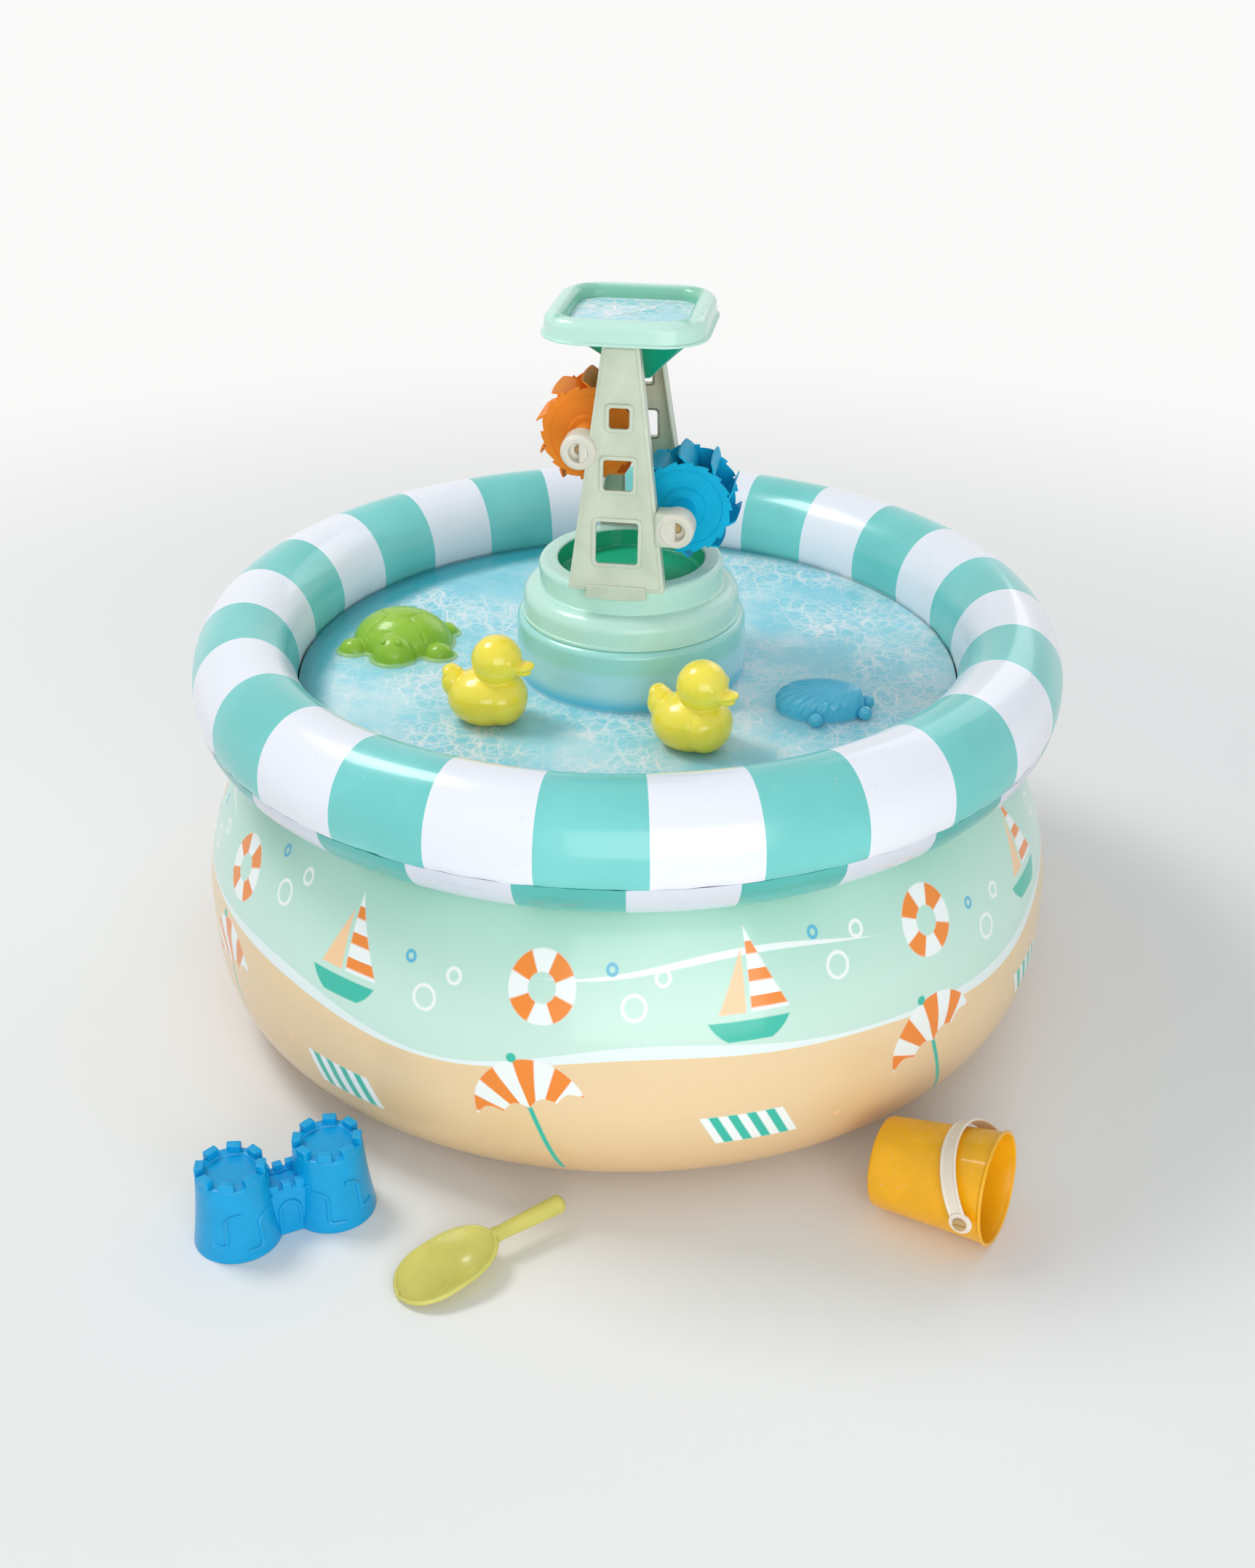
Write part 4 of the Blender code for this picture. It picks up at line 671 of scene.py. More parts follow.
def waterMesh():
    centre = towerPlace.translation
    rows = []
    for share in spread(0.0, 1.0, water["rings"]):
        row = []
        for step in range(water["sides"]):
            turn = 2 * pi * step / water["sides"]
            near = Vector((centre.x + water["inner"] * cos(turn), water["inner"] * sin(turn)))
            far = Vector((water["edge"] * cos(turn), water["edge"] * sin(turn)))
            at = near.lerp(far, share)
            calm = min(share, 1 - share) * 6
            reach = hypot(at.x - centre.x, at.y) - water["inner"]
            wander = 2.2 * ringNoise(turn, 7, 3.0)
            ripple = water["swell"] * sin(reach * water["swellWaves"] + wander) * exp(-reach / water["swellFade"])
            chop = water["chop"] * (noise.noise(Vector((at.x * 24, at.y * 24, 1.3)))
                                    + 0.6 * noise.noise(Vector((at.x * 58, at.y * 58, 7.1))))
            for spot in water["spots"]:  # rings where drops fell
                away = hypot(at.x - spot[0], at.y - spot[1])
                ripple += water["spot"] * sin(away * water["spotWaves"]) * exp(-away / water["spotFade"])
            row.append((at.x, at.y, water["level"] + (ripple + chop) * min(calm, 1.0)))
        rows.append(row)
    below = [[(x, y, water["level"] - water["depth"]) for x, y, z in row] for row in (rows[-1], rows[0])]
    return lofted(rows + below, ring=True)


def waterSkin(name, alpha, strength):
    recipe = Recipe(name, 0.04, 0.0, IOR=1.33, Alpha=alpha, Specular_IOR_Level=0.55)
    recipe.set("Base Color", shaded(recipe, waterlight(recipe, water["tint"], strength)))
    recipe.bump(recipe.grain(46.0) + 0.5 * recipe.grain(120.0), 0.0022, 0.5)
    return recipe


finished("basin_water", waterMesh(), "pool", waterSkin("basin water", water["alpha"], 0.9), (), 80)


def pedestalMesh():
    p = pedestal
    line = [(p["radius"], basin["floor"] + p["gap"]), (p["radius"] + p["bulge"], p["bulgeZ"])]
    line += [(p["radius"] - p["round"] * (1 - cos(turn)), p["top"] - p["round"] * (1 - sin(turn)))
             for turn in spread(0, pi / 2, 8)]
    line += [(p["neck"], p["top"]), (p["neck"], p["neckEnd"]), p["collar"], (p["crown"], p["neckTop"]),
             (0.0, p["neckTop"])]
    return turned(skinned(line, p["film"]), p["sides"])


def pedestalFilm():
    recipe = Recipe("pedestal film", 0.24, 0.35, Coat_Roughness=0.06)
    height = recipe.xyz()[2] + (recipe.grain(14.0) - 0.5) * 0.006
    colour = recipe.blend(recipe.ramp(height, 0.384, 0.402), pedestal["deep"], pedestal["blue"])
    # painted shadow: the cap's flange shades a mint band round the top of the pedestal
    shadowEdge, soft = pedestal["bandFoot"], pedestal["bandSoft"]
    colour = recipe.blend(recipe.ramp(height, shadowEdge - soft, shadowEdge + soft), colour, pedestal["mint"])
    recipe.set("Base Color", colour)
    recipe.bump(recipe.grain(32.0), 0.0004, 0.5)
    return recipe


stub = finished("pedestal_stub", pedestalMesh(), "pool", pedestalFilm(), ["pedestal"],
                place=towerPlace)
print("basin done")

# Air valves at the back, each with a plug on the body that pulls out
valve = dict(flange=0.0100, thick=0.0025, stem=0.0060, length=0.012, bore=0.0038, head=0.0070, cap=0.0030,
             plugLength=0.009, gap=0.0003, sides=48)
valveFilm = moulded("valve vinyl", "EAF0EE", 0.3, 0.2, 0.03)


def valveSections():
    v = valve
    top = v["gap"] + v["thick"]
    body = rounded([(v["bore"], top), (v["flange"], top), (v["flange"], v["gap"]), (v["stem"], v["gap"]),
                    (v["stem"], -v["length"]), (v["bore"], -v["length"])], [0.0006, 0.0009, 0, 0, 0.0008, 0.0004])
    head = top + v["gap"]
    stem = v["bore"] - v["gap"]
    plug = rounded([(0.0, head + v["cap"]), (v["head"] * 0.55, head + v["cap"] * 0.7), (v["head"], head + v["cap"]),
                    (v["head"], head), (stem, head), (stem * 0.9, top - v["plugLength"]),
                    (0.0, top - v["plugLength"])], [0, 0.002, 0.0012, 0.0004, 0, 0.0007, 0])
    return body, plug


for joint in frame["joints"]:
    if not joint["name"].endswith("plug_pull"):
        continue
    plugNode = joint["child"]
    valveNode = plugNode.replace("plug", "valve")
    axis = Vector(joint["axis"]).normalized()
    low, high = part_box(valveNode)
    stemShift = (valve["length"] - valve["gap"] - valve["thick"]) / 2
    seat = (low + high) / 2 + axis * stemShift
    place = Matrix.Translation(seat) @ axis.to_track_quat("Z", "Y").to_matrix().to_4x4()
    for section, node, body in zip(valveSections(), (valveNode, plugNode), ("pool", plugNode)):
        finished(node + "_skin", turned(section, valve["sides"]), body, valveFilm, [node], place=place)
print("valves done")


# Geometry Nodes: copies of a shape turned round Z, or drops strewn over a surface
def nodeTree(name, inputs):
    tree = bpy.data.node_groups.new(name, "GeometryNodeTree")
    tree.interface.new_socket("Geometry", in_out="INPUT", socket_type="NodeSocketGeometry")
    for label, kind in inputs:
        tree.interface.new_socket(label, in_out="INPUT", socket_type="NodeSocket" + kind)
    tree.interface.new_socket("Geometry", in_out="OUTPUT", socket_type="NodeSocketGeometry")
    given = tree.nodes.new("NodeGroupInput")
    result = tree.nodes.new("NodeGroupOutput")
    return tree, given, result


def settled(tree, given, result, instances):  # every tree ends in plain geometry with its finish
    real = tree.nodes.new("GeometryNodeRealizeInstances")
    finish = tree.nodes.new("GeometryNodeSetMaterial")
    wired(tree, (instances, real.inputs[0]), (real.outputs[0], finish.inputs["Geometry"]),
          (given.outputs["Finish"], finish.inputs["Material"]), (finish.outputs[0], result.inputs[0]))
    return tree


def copiesTree():
    tree, given, result = nodeTree("copies round an axis", [("Copies", "Int"), ("First Turn", "Float"),
                                                             ("Finish", "Material")])
    points, index = added(tree, "GeometryNodePoints"), added(tree, "GeometryNodeInputIndex")
    step, turn = [added(tree, "ShaderNodeMath", operation=name) for name in ("DIVIDE", "MULTIPLY_ADD")]
    step.inputs[0].default_value = 2 * pi
    spin, copies = added(tree, "ShaderNodeCombineXYZ"), added(tree, "GeometryNodeInstanceOnPoints")
    wired(tree, (given.outputs["Copies"], points.inputs["Count"]), (given.outputs["Copies"], step.inputs[1]),
          (index.outputs[0], turn.inputs[0]), (step.outputs[0], turn.inputs[1]),
          (given.outputs["First Turn"], turn.inputs[2]), (turn.outputs[0], spin.inputs["Z"]),
          (points.outputs[0], copies.inputs["Points"]), (given.outputs["Geometry"], copies.inputs["Instance"]),
          (spin.outputs[0], copies.inputs["Rotation"]))
    return settled(tree, given, result, copies.outputs[0])


def grown(mesh, tree, **values):  # runs a tree on a mesh and keeps the plain result
    piece = linked(mesh, "grown")
    growth = modified(piece, "NODES", node_group=tree)
    for item in tree.interface.items_tree:
        if item.in_out == "INPUT" and item.name.replace(" ", "") in values:
            growth[item.identifier] = values[item.name.replace(" ", "")]
    return evaluated(piece)


roundCopies = copiesTree()


def roundAxis(mesh, copies, recipe, firstTurn=0.0):
    return grown(mesh, roundCopies, Copies=copies, FirstTurn=firstTurn, Finish=recipe.material)


# Tower base: stepped cap with a well in its top, the well painted dark green as painted shade
cap = dict(mint="C4ECDD", mintDeep="8ACDB2", well="2CC394", wellRadius=0.078, wellFloor=0.4865, top=0.5085, step=0.0985,
           shoulder=0.4805, flange=0.1165, flangeFoot=0.448, lip=0.0015, lipHeight=0.0035, wall=0.003, sides=168)


def mintPlastic(name, well=False, dish=False):
    recipe = moulded(name, cap["mint"], 0.27, 0.3, 0.025)
    x, y, z = recipe.xyz()
    if dish:  # painted shade: the tray is darker inside its rim
        across, deep = [recipe.size(x * row[0] + y * row[1] + row[3]) for row in towerPlace.inverted()[:2]]
        inset = recipe.least(tray["halfX"] - across, tray["halfY"] - deep)
        shade = recipe.ramp(inset, tray["rim"] - 0.008, tray["rim"] - 0.001)
        recipe.set("Base Color", recipe.blend(shade, cap["mint"], cap["mintDeep"]))
    if well:
        # painted shade: the well in the cap's top is coloured dark green
        aside = x - towerPlace.translation.x
        radius = recipe.span(aside, y)
        wellShadeMask = recipe.inside(radius - cap["wellRadius"] - 0.0004, 0.0004) * recipe.inside(z - cap["top"] + 0.001, 0.001)
        recipe.set("Base Color", recipe.blend(wellShadeMask, cap["mint"], cap["well"]))
    return recipe


def capMesh():
    c = cap
    wall = c["wall"]
    section = rounded([
        (0.0, c["wellFloor"]), (c["wellRadius"], c["wellFloor"]), (c["wellRadius"], c["top"]), (c["step"], c["top"]),
        (c["step"], c["shoulder"]), (c["flange"], c["shoulder"]), (c["flange"], c["flangeFoot"] + c["lipHeight"]),
        (c["flange"] + c["lip"], c["flangeFoot"] + c["lipHeight"]), (c["flange"] + c["lip"], c["flangeFoot"]),
        (c["flange"] - wall, c["flangeFoot"]), (c["flange"] - wall, c["shoulder"] - wall),
        (c["step"] - wall, c["shoulder"] - wall), (c["step"] - wall, c["top"] - wall),
        (c["wellRadius"] + wall, c["top"] - wall), (c["wellRadius"] + wall, c["wellFloor"] - wall),
        (0.0, c["wellFloor"] - wall)],
        [0, 0.004, 0.003, 0.007, 0.0025, 0.016, 0.0008, 0.0006, 0.0008, 0.0005, 0.012, 0, 0, 0, 0, 0], 8)
    return turned(section, c["sides"])


finished("tower_base", capMesh(), "tower", mintPlastic("mint cap", True), ["base_cap"],
         place=towerPlace)

# Leaning panels: channel, raised window frames, axle lugs and a tab over the base
panel = dict(foot=0.5088, top=0.7542, footY=0.1015, topY=0.0685, footHalf=0.050, topHalf=0.0185, depth=0.018,
             wall=0.0025, web=0.003, edge=0.0009, seam=0.0004, corner=0.0030, rises=(0.2046, 0.4837, 0.7139),
             halves=(0.0215, 0.0152, 0.0102), frame=0.0040, frameEdge=0.0011, proud=0.0027, windowCorner=0.0032,
             borderIn=0.0030, borderWidth=0.0014, borderProud=0.0007, tabHalf=0.032, tabDrop=0.0095, tabRise=0.006,
             tabThick=0.0042, tabSag=0.0022, stone="D3DAC5", stoneDeep="C9D1BB")
lug = dict(radius=0.0185, length=0.026, proud=0.008, eye=0.0100, eyeDepth=0.011, bore=0.0053, bead=0.0012,
           beadOut=0.0042, beadSquash=0.8, armShares=(0.9, 0.98), armCorner=0.004, armIn=0.0024, armEdge=0.0032,
           sides=72, cream="E2DDCE")
wheelAxes = dict(orange=(-0.040, 0.650), blue=(0.05999, 0.57599))
panelLean = atan2(panel["footY"] - panel["topY"], panel["top"] - panel["foot"])
panelSlant = (panel["top"] - panel["foot"]) / cos(panelLean)
panelPlane = Matrix(((1, 0, 0, 0), (0, sin(panelLean), -cos(panelLean), -panel["footY"]),
                     (0, cos(panelLean), sin(panelLean), panel["foot"]), (0, 0, 0, 1)))


def panelY(z):
    return panel["footY"] - (z - panel["foot"]) * tan(panelLean)


def panelHalf(z):
    return mix(panel["footHalf"], panel["topHalf"], (z - panel["foot"]) / (panel["top"] - panel["foot"]))


def panelOutline(inset, footIn, topIn, corner):
    low, high = footIn, panelSlant - topIn
    halves = [mix(panel["footHalf"], panel["topHalf"], v / panelSlant) - inset for v in (low, high)]
    return rounded([(-halves[0], low), (halves[0], low), (halves[1], high), (-halves[1], high)], corner, 5)


def squareOutline(v, half, corner):
    return rounded([(-half, v - half), (half, v - half), (half, v + half), (-half, v + half)], corner, 5)


def lugMesh(x, z):
    l = lug
    section = rounded([(l["eye"], 0.0), (l["radius"], 0.0), (l["radius"], -l["length"]), (l["bore"], -l["length"]),
                       (l["bore"], -l["eyeDepth"]), (l["eye"], -l["eyeDepth"])],
                      [0.0016, 0.0045, 0.001, 0.0003, 0.0003, 0.0012], 6)
    bead = circle(l["bead"], 12, (l["eye"] + l["beadOut"], 0.0), l["beadSquash"])
    mesh = gathered([turned(section, l["sides"]), turned(bead, l["sides"])])
    mesh.transform(Matrix.Translation((x, -panelY(z) - l["proud"], z)) @ faceFront)
    return mesh


def panelMesh():
    p = panel
    shells = []
    slants = [rise * panelSlant for rise in p["rises"]]
    holes = [squareOutline(v, half, p["windowCorner"]) for v, half in zip(slants, p["halves"])]
    front = plate([panelOutline(0, 0, 0, p["corner"])] + holes, p["wall"], p["edge"],
                  panelPlane @ Matrix.Translation((0, 0, -p["wall"] / 2)))
    sides = plate([panelOutline(p["seam"], p["seam"], p["seam"], p["corner"]),
                   panelOutline(p["wall"], p["web"], p["web"], p["corner"] / 2)], p["depth"] - 0.001, p["edge"],
                  panelPlane @ Matrix.Translation((0, 0, -p["depth"] / 2 - 0.0005)))
    border = plate([panelOutline(p["borderIn"], p["borderIn"], p["borderIn"], p["corner"]),
                    panelOutline(p["borderIn"] + p["borderWidth"], p["borderIn"] + p["borderWidth"],
                                 p["borderIn"] + p["borderWidth"], p["corner"] / 2)],
                   2 * p["borderProud"], p["borderProud"] * 0.9, panelPlane)
    shells += [front, sides, border]
    for v, half, hole in zip(slants, p["halves"], holes):
        outer = squareOutline(v, half + p["frame"], p["windowCorner"] + 0.002)
        deep = p["proud"] + p["wall"]
        shells.append(plate([outer, hole], deep, p["frameEdge"],
                            panelPlane @ Matrix.Translation((0, 0, p["proud"] - deep / 2))))
    for x, z in wheelAxes.values():
        shells.append(lugMesh(x, z))
        edge = panelHalf(z) - p["wall"]
        half = lug["radius"] * lug["armShares"][x > 0]
        near, far = sorted((x, edge if x > 0 else -edge))
        arm = rounded([(near, z - half), (far, z - half), (far, z + half), (near, z + half)], lug["armCorner"])
        middle = lug["length"] / 2 - lug["proud"] - panelY(z)
        shells.append(plate([arm], lug["length"] - lug["armIn"], lug["armEdge"],
                            Matrix.Translation((0, middle, 0)) @ faceFront))
    half, low, high = p["tabHalf"], p["foot"] - p["tabDrop"] + p["tabSag"], p["foot"] + p["tabRise"]
    sag = [(x, low - p["tabSag"] * (1 - (x / half) ** 2)) for x in spread(-half, half, 16)]
    tab = rounded(sag + [(half * 0.96, high), (-half * 0.96, high)], 0.0012, 3)
    shells.append(plate([tab], p["tabThick"], 0.0010, Matrix.Translation((0, -p["footY"] - 0.0003, 0)) @ faceFront))
    return gathered(shells)


def stonePlastic():
    recipe = Recipe("stone plastic", 0.36, 0.12)
    cloud = recipe.grain(30.0, 3.0)
    speck = recipe.grain(900.0)
    colour = recipe.blend(recipe.ramp(cloud, 0.3, 0.75), panel["stoneDeep"], panel["stone"])
    x, y, z = recipe.xyz()
    back = towerPlace.inverted()
    for axis in wheelAxes.values():  # the lugs are paler than the panel
        across, up = x * back[0][0] + y * back[0][1] + (back[0][3] - axis[0]), z - axis[1]
        reach = recipe.span(across, up)
        colour = recipe.blend(recipe.inside(reach - lug["radius"] - 0.0004, 0.0006), colour, lug["cream"])
    recipe.set("Base Color", recipe.blend(recipe.ramp(speck, 0.62, 0.75) * 0.2, colour, "F2F2E8"))
    recipe.set("Roughness", recipe.ramp(cloud, 0.2, 0.8, 0.30, 0.42))
    recipe.bump(speck, 0.00016, 0.6)
    return recipe


stone = stonePlastic()
frontShell = panelMesh()
rearShell = frontShell.copy()
rearShell.transform(Matrix.Scale(-1, 4, (0, 1, 0)))
rearShell.flip_normals()
for name, shell in (("front", frontShell), ("rear", rearShell)):
    finished(name + "_tower_panel", shell, "tower", stone, [name + "_panel"], 35, towerPlace)

# Tray with a broad rounded rim, and the hopper that hangs below its hole
tray = dict(halfX=0.0820, halfY=0.0825, corner=0.045, top=0.780, floor=0.757, rim=0.0205, lip=0.003, wall=0.0025,
            outerLean=0.0008, innerLean=0.0005, cove=0.002, floorEnd=0.030, rollThick=0.0035, rollStart=0.006,
            holeX=0.050, holeY=0.034, holeCorner=0.012, holeFrom=0.0298, water=0.7672, waterIn=0.0217, waterEnd=0.004,
            waterDepth=0.002, waterStir=0.0012, waterRows=36, waterAlpha=0.88)
hopper = dict(halfX=0.066, topX=0.005, halfY=0.045, corner=0.014, wall=0.002, mouth=0.009, mouthX=0.012, mouthZ=0.705,
              mouthCorner=0.004, wallTop=0.004, gap=0.0003, power=0.9, rows=10, green="12A982", facets=10)


def boxLoop(halfX, halfY, corner, z, centreX=0.0, facets=14):
    loop = []
    for quarter, (sx, sy) in enumerate(((1, 1), (-1, 1), (-1, -1), (1, -1))):
        for step in range(facets + 1):
            turn = pi / 2 * (quarter + step / facets)
            loop.append((centreX + sx * (halfX - corner) + corner * cos(turn),
                         sy * (halfY - corner) + corner * sin(turn), z))
    return loop


def trayLoop(inset, z):
    return boxLoop(tray["halfX"] - inset, tray["halfY"] - inset, max(tray["corner"] - inset, 0.003), z)


def trayMesh():
    t = tray
    section = rounded([(-t["lip"], t["floor"]), (-t["lip"], t["floor"] + t["wall"]), (0.0, t["floor"] + t["wall"]),
                       (t["outerLean"], t["top"]), (t["rim"] - t["innerLean"], t["top"]),
                       (t["rim"] + t["cove"], t["floor"]), (t["floorEnd"], t["floor"]),
                       (t["floorEnd"], t["floor"] - t["wall"]), (t["rim"] - t["wall"], t["floor"] - t["wall"]),
                       (t["rim"] - t["wall"] - 0.001, t["top"] - t["rollThick"]),
                       (t["wall"] + 0.002, t["top"] - t["rollStart"]), (t["wall"], t["floor"])],
                      [0.0009, 0.0009, 0.0006, 0.0095, 0.0085, 0.005, 0, 0, 0.001, 0.004, 0.004, 0.0005], 7)
    hole = [t["holeX"], t["holeY"], t["holeCorner"]]
    return lofted([boxLoop(*hole, z) if inset > t["holeFrom"] else trayLoop(inset, z) for inset, z in section],
                  ring=True)


def hopperMesh():
    h = hopper
    top = tray["floor"] - tray["wall"] - h["gap"]

    def skin(topIn, mouthIn, shares):  # one side of the funnel, set in from the outside
        loops = []
        for share in shares:
            sizes = [mix(h[key] - topIn * part, low - mouthIn, share ** h["power"])
                     for key, low, part in (("halfX", h["mouth"], 1), ("halfY", h["mouth"], 1),
                                            ("corner", h["mouthCorner"], 0.5))]
            loops.append(boxLoop(*sizes, mix(top, h["mouthZ"], share),
                                 mix(h["topX"], h["mouthX"], share ** h["power"]), h["facets"]))
        return loops

    shares = spread(0.0, 1.0, h["rows"])
    return lofted(skin(0.0, 0.0, shares) + skin(h["wallTop"], h["wall"], shares[::-1]), ring=True)


finished("top_tray", trayMesh(), "tower", mintPlastic("mint tray", dish=True), ["tray"], 50, towerPlace)
# the hopper is the tray's mint plastic, coloured a deeper green as painted shade under the tray
finished("tray_hopper", hopperMesh(), "tower", moulded("hopper mint in painted shade", hopper["green"], 0.33, 0.15),
         ["hopper"], 50, towerPlace)


def trayWaterMesh():
    loops = []
    for inset in spread(tray["waterIn"], tray["halfX"] - tray["waterEnd"], tray["waterRows"]):
        loop = []
        for x, y, z in trayLoop(inset, tray["water"]):
            stir = noise.noise(Vector((x * 55, y * 55, 2.0))) + 0.6 * noise.noise(Vector((x * 120, y * 120, 5.0)))
            loop.append((x, y, z + tray["waterStir"] * stir * min((inset - tray["waterIn"]) * 200, 1.0)))
        loops.append(loop)
    below = [(x, y, tray["water"] - tray["waterDepth"]) for x, y, z in loops[0]]
    return lofted([below] + loops)


finished("tray_water", trayWaterMesh(), "tower", waterSkin("tray water", tray["waterAlpha"], 1.0), (), 80,
         towerPlace)
print("tower done")

# Water wheels: saw-edged discs, a bead and hub on each face, and scoop paddles between
wheel = dict(halfWidth=0.030, disc=0.0500, toothDepth=0.0035, teeth=18,
             tooth=((0.0, 0.0), (0.3, 0.35), (0.75, 0.75), (1.0, 0.97)), thick=0.0025, paddles=10, tip=0.0565,
             root=0.0185, sweep=24.0, paddleThick=0.0030, cup=0.0022, hub=0.020, hubProud=0.0042, boss=0.0115,
             bossEnd=0.0627, bore=0.0053, bead=0.0405, beadSize=0.0012, axle=0.0050, sides=96,
             orange="FF9330", blue="14BAE6", tan="C7A56F")


def paddleMesh():
    w = wheel
    loops = []
    inside = w["halfWidth"] - w["thick"] / 2
    for share in spread(-1.0, 1.0, 10):
        back, front = [], []
        for rise in spread(0.0, 1.0, 10):
            radius = mix(w["root"], w["tip"] - 0.0012 * share * share, rise)
            turn = radians(w["sweep"]) * rise * rise + w["cup"] / radius * (1 - share * share) * rise
            half = w["paddleThick"] / 2 / radius * (1.0 if rise < 0.95 else 0.7)
            back.append((radius * cos(turn - half), radius * sin(turn - half), share * inside))
            front.append((radius * cos(turn + half), radius * sin(turn + half), share * inside))
        loops.append(back + front[::-1])
    return lofted(loops)


def wheelMesh(recipe):
    w = wheel
    teeth = []
    for tooth in range(w["teeth"]):
        turn = 2 * pi * tooth / w["teeth"]
        lean = 2 * pi / w["teeth"]
        for drop, along in w["tooth"]:
            radius = w["disc"] - w["toothDepth"] * drop
            teeth.append((radius * cos(turn + lean * along), radius * sin(turn + lean * along)))
    bore = circle(w["bore"], 32)
    shells = [roundAxis(paddleMesh(), w["paddles"], recipe)]
    inside = w["halfWidth"] - w["thick"] / 2
    face = w["halfWidth"]
    section = rounded([(w["bore"], face - 0.001), (w["hub"] + 0.004, face - 0.001), (w["hub"], face + w["hubProud"]),
                       (w["boss"] + 0.0015, face + w["hubProud"]), (w["boss"], w["bossEnd"]),
                       (w["bore"], w["bossEnd"])], [0, 0.001, 0.0028, 0.0025, 0.0018, 0.0008], 6)
    beadSection = circle(w["beadSize"], 12, (w["bead"], face - 0.0002))
    core = [(w["bore"], -inside), (w["hub"], -inside), (w["hub"], inside), (w["bore"], inside)]
    shells.append(turned(core, w["sides"]))
    for side in (-1, 1):
        shells.append(plate([teeth, bore], w["thick"], 0.0007, Matrix.Translation((0, 0, side * inside))))
        shells.append(turned([(r, side * h) for r, h in section], w["sides"]))
        shells.append(turned([(r, side * h) for r, h in beadSection], w["sides"]))
    return gathered(shells)


def axleMesh(reach):
    section = rounded([(0.0, -reach), (wheel["axle"], -reach), (wheel["axle"], reach), (0.0, reach)],
                      [0, 0.0012, 0.0012, 0], 5)
    return turned(section, 48)


axleTan = moulded("axle tan", wheel["tan"], 0.38, 0.1)
for colour, (x, z) in wheelAxes.items():
    place = towerPlace @ Matrix.Translation((x, 0, z)) @ faceFront
    recipe = moulded(colour + " wheel plastic", wheel[colour], 0.42, 0.0, 0.05, Specular_IOR_Level=0.08)
    finished(colour + "_water_wheel", wheelMesh(recipe), colour + "_wheel", recipe,
             [colour + "_wheel"], 35, place)
    rod = axleMesh(panelY(z) + lug["proud"] - lug["eyeDepth"])
    finished(colour + "_axle_pin", rod, "tower", axleTan, [colour + "_axle"], place=place)
print("wheels done")


# Bath ducks: soft vinyl blown in one skin
duck = dict(body=(0.0395, 0.036, 0.030), bodyX=-0.002, sink=0.003, breast=(0.0240, 0.0325, 0.0272), breastX=0.0185,
            head=0.0262, headX=0.012, headZ=0.0700, bill=(0.0148, 0.0115, 0.0054), billIn=0.001, billDrop=0.0050,
            billLean=-8.0, chin=0.76, chinLean=5.0, neck=(0.0205, 0.0195, 0.013), neckRise=0.022,
            tail=(0.0130, 0.0165, 0.0165), tailX=-0.0350, tailRise=0.014, tip=(0.0085, 0.0120, 0.0080), tipX=-0.0385,
            tipRise=0.0245, voxel=0.00085, smooth=8, eye=0.0035, eyeIn=0.0012, gaze=(0.74, 0.62, 0.16),
            yellow="FFE840", shade="FFD326", glow="FFEF7C", floor=0.3803,
            places={"duck_left": (-0.145, -0.137, -14.0), "duck_right": (0.064, -0.194, -30.0)})


def duckMesh():
    d = duck
    middle = d["body"][2] - d["sink"]
    lobes = [ellipsoid((d["bodyX"], 0, middle), d["body"], 48), ellipsoid((d["breastX"], 0, middle), d["breast"], 48),
             ellipsoid((d["headX"], 0, d["headZ"]), [d["head"]] * 3, 48),
             ellipsoid((d["headX"] * 0.8, 0, middle + d["neckRise"]), d["neck"], 32),
             ellipsoid((d["tailX"], 0, middle + d["tailRise"]), d["tail"], 32),
             ellipsoid((d["tipX"], 0, middle + d["tipRise"]), d["tip"], 32)]
    skin = fused(lobes, d["voxel"], d["smooth"])
    crisp = []
    for drop, lean, size in ((1, d["billLean"], 1.0), (2, d["chinLean"], d["chin"])):  # the bill's two halves, closed
        half = ellipsoid((0, 0, 0), [v * size for v in d["bill"]], 32)
        root = (d["headX"] + d["head"] - d["billIn"], 0, d["headZ"] - d["billDrop"] * drop)
        half.transform(Matrix.Translation(root) @ Matrix.Rotation(radians(lean), 4, "Y"))
        crisp.append(half)
    for side in (-1, 1):
        direction = Vector((d["gaze"][0], side * d["gaze"][1], d["gaze"][2])).normalized()
        spot = Vector((d["headX"], 0, d["headZ"])) + direction * (d["head"] - d["eyeIn"])
        dome = ellipsoid((0, 0, 0), (d["eye"], d["eye"] * 1.25, d["eye"] * 0.75), 24)
        dome.transform(Matrix.Translation(spot) @ direction.to_track_quat("Z", "Y").to_matrix().to_4x4())
        crisp.append(dome)
    mesh = fused([skin] + crisp, d["voxel"], 2)
    shape = bmesh.new()
    shape.from_mesh(mesh)
    for vert in shape.verts:  # flat foot
        vert.co.z = max(vert.co.z, 0.0)
    return meshOf(shape, "duck")


def duckVinyl():
    recipe = Recipe("duck vinyl", 0.2, 0.35, Subsurface_Weight=0.12, Subsurface_Scale=0.01, Coat_Roughness=0.08)
    recipe.shader.inputs["Subsurface Radius"].default_value = (1.0, 0.7, 0.2)
    cloud = recipe.grain(40.0, 3.0)
    # painted shade: the body turns a darker yellow towards the floor
    low = recipe.ramp(recipe.xyz()[2], duck["floor"], duck["floor"] + 0.045)
    colour = recipe.blend(low, duck["shade"], duck["yellow"])
    recipe.set("Base Color", recipe.blend(recipe.ramp(cloud, 0.4, 0.8) * 0.25, colour, duck["glow"]))
    recipe.set("Roughness", recipe.ramp(cloud, 0.2, 0.8, 0.15, 0.27))
    recipe.bump(recipe.grain(500.0), 0.0001, 0.5)
    return recipe


vinyl = duckVinyl()
duckSkin = duckMesh()
for name, (x, y, turn) in duck["places"].items():
    finished(name + "_skin", duckSkin.copy(), name, vinyl, [name], 60,
             standing((x, y, duck["floor"]), turn))
print("ducks done")


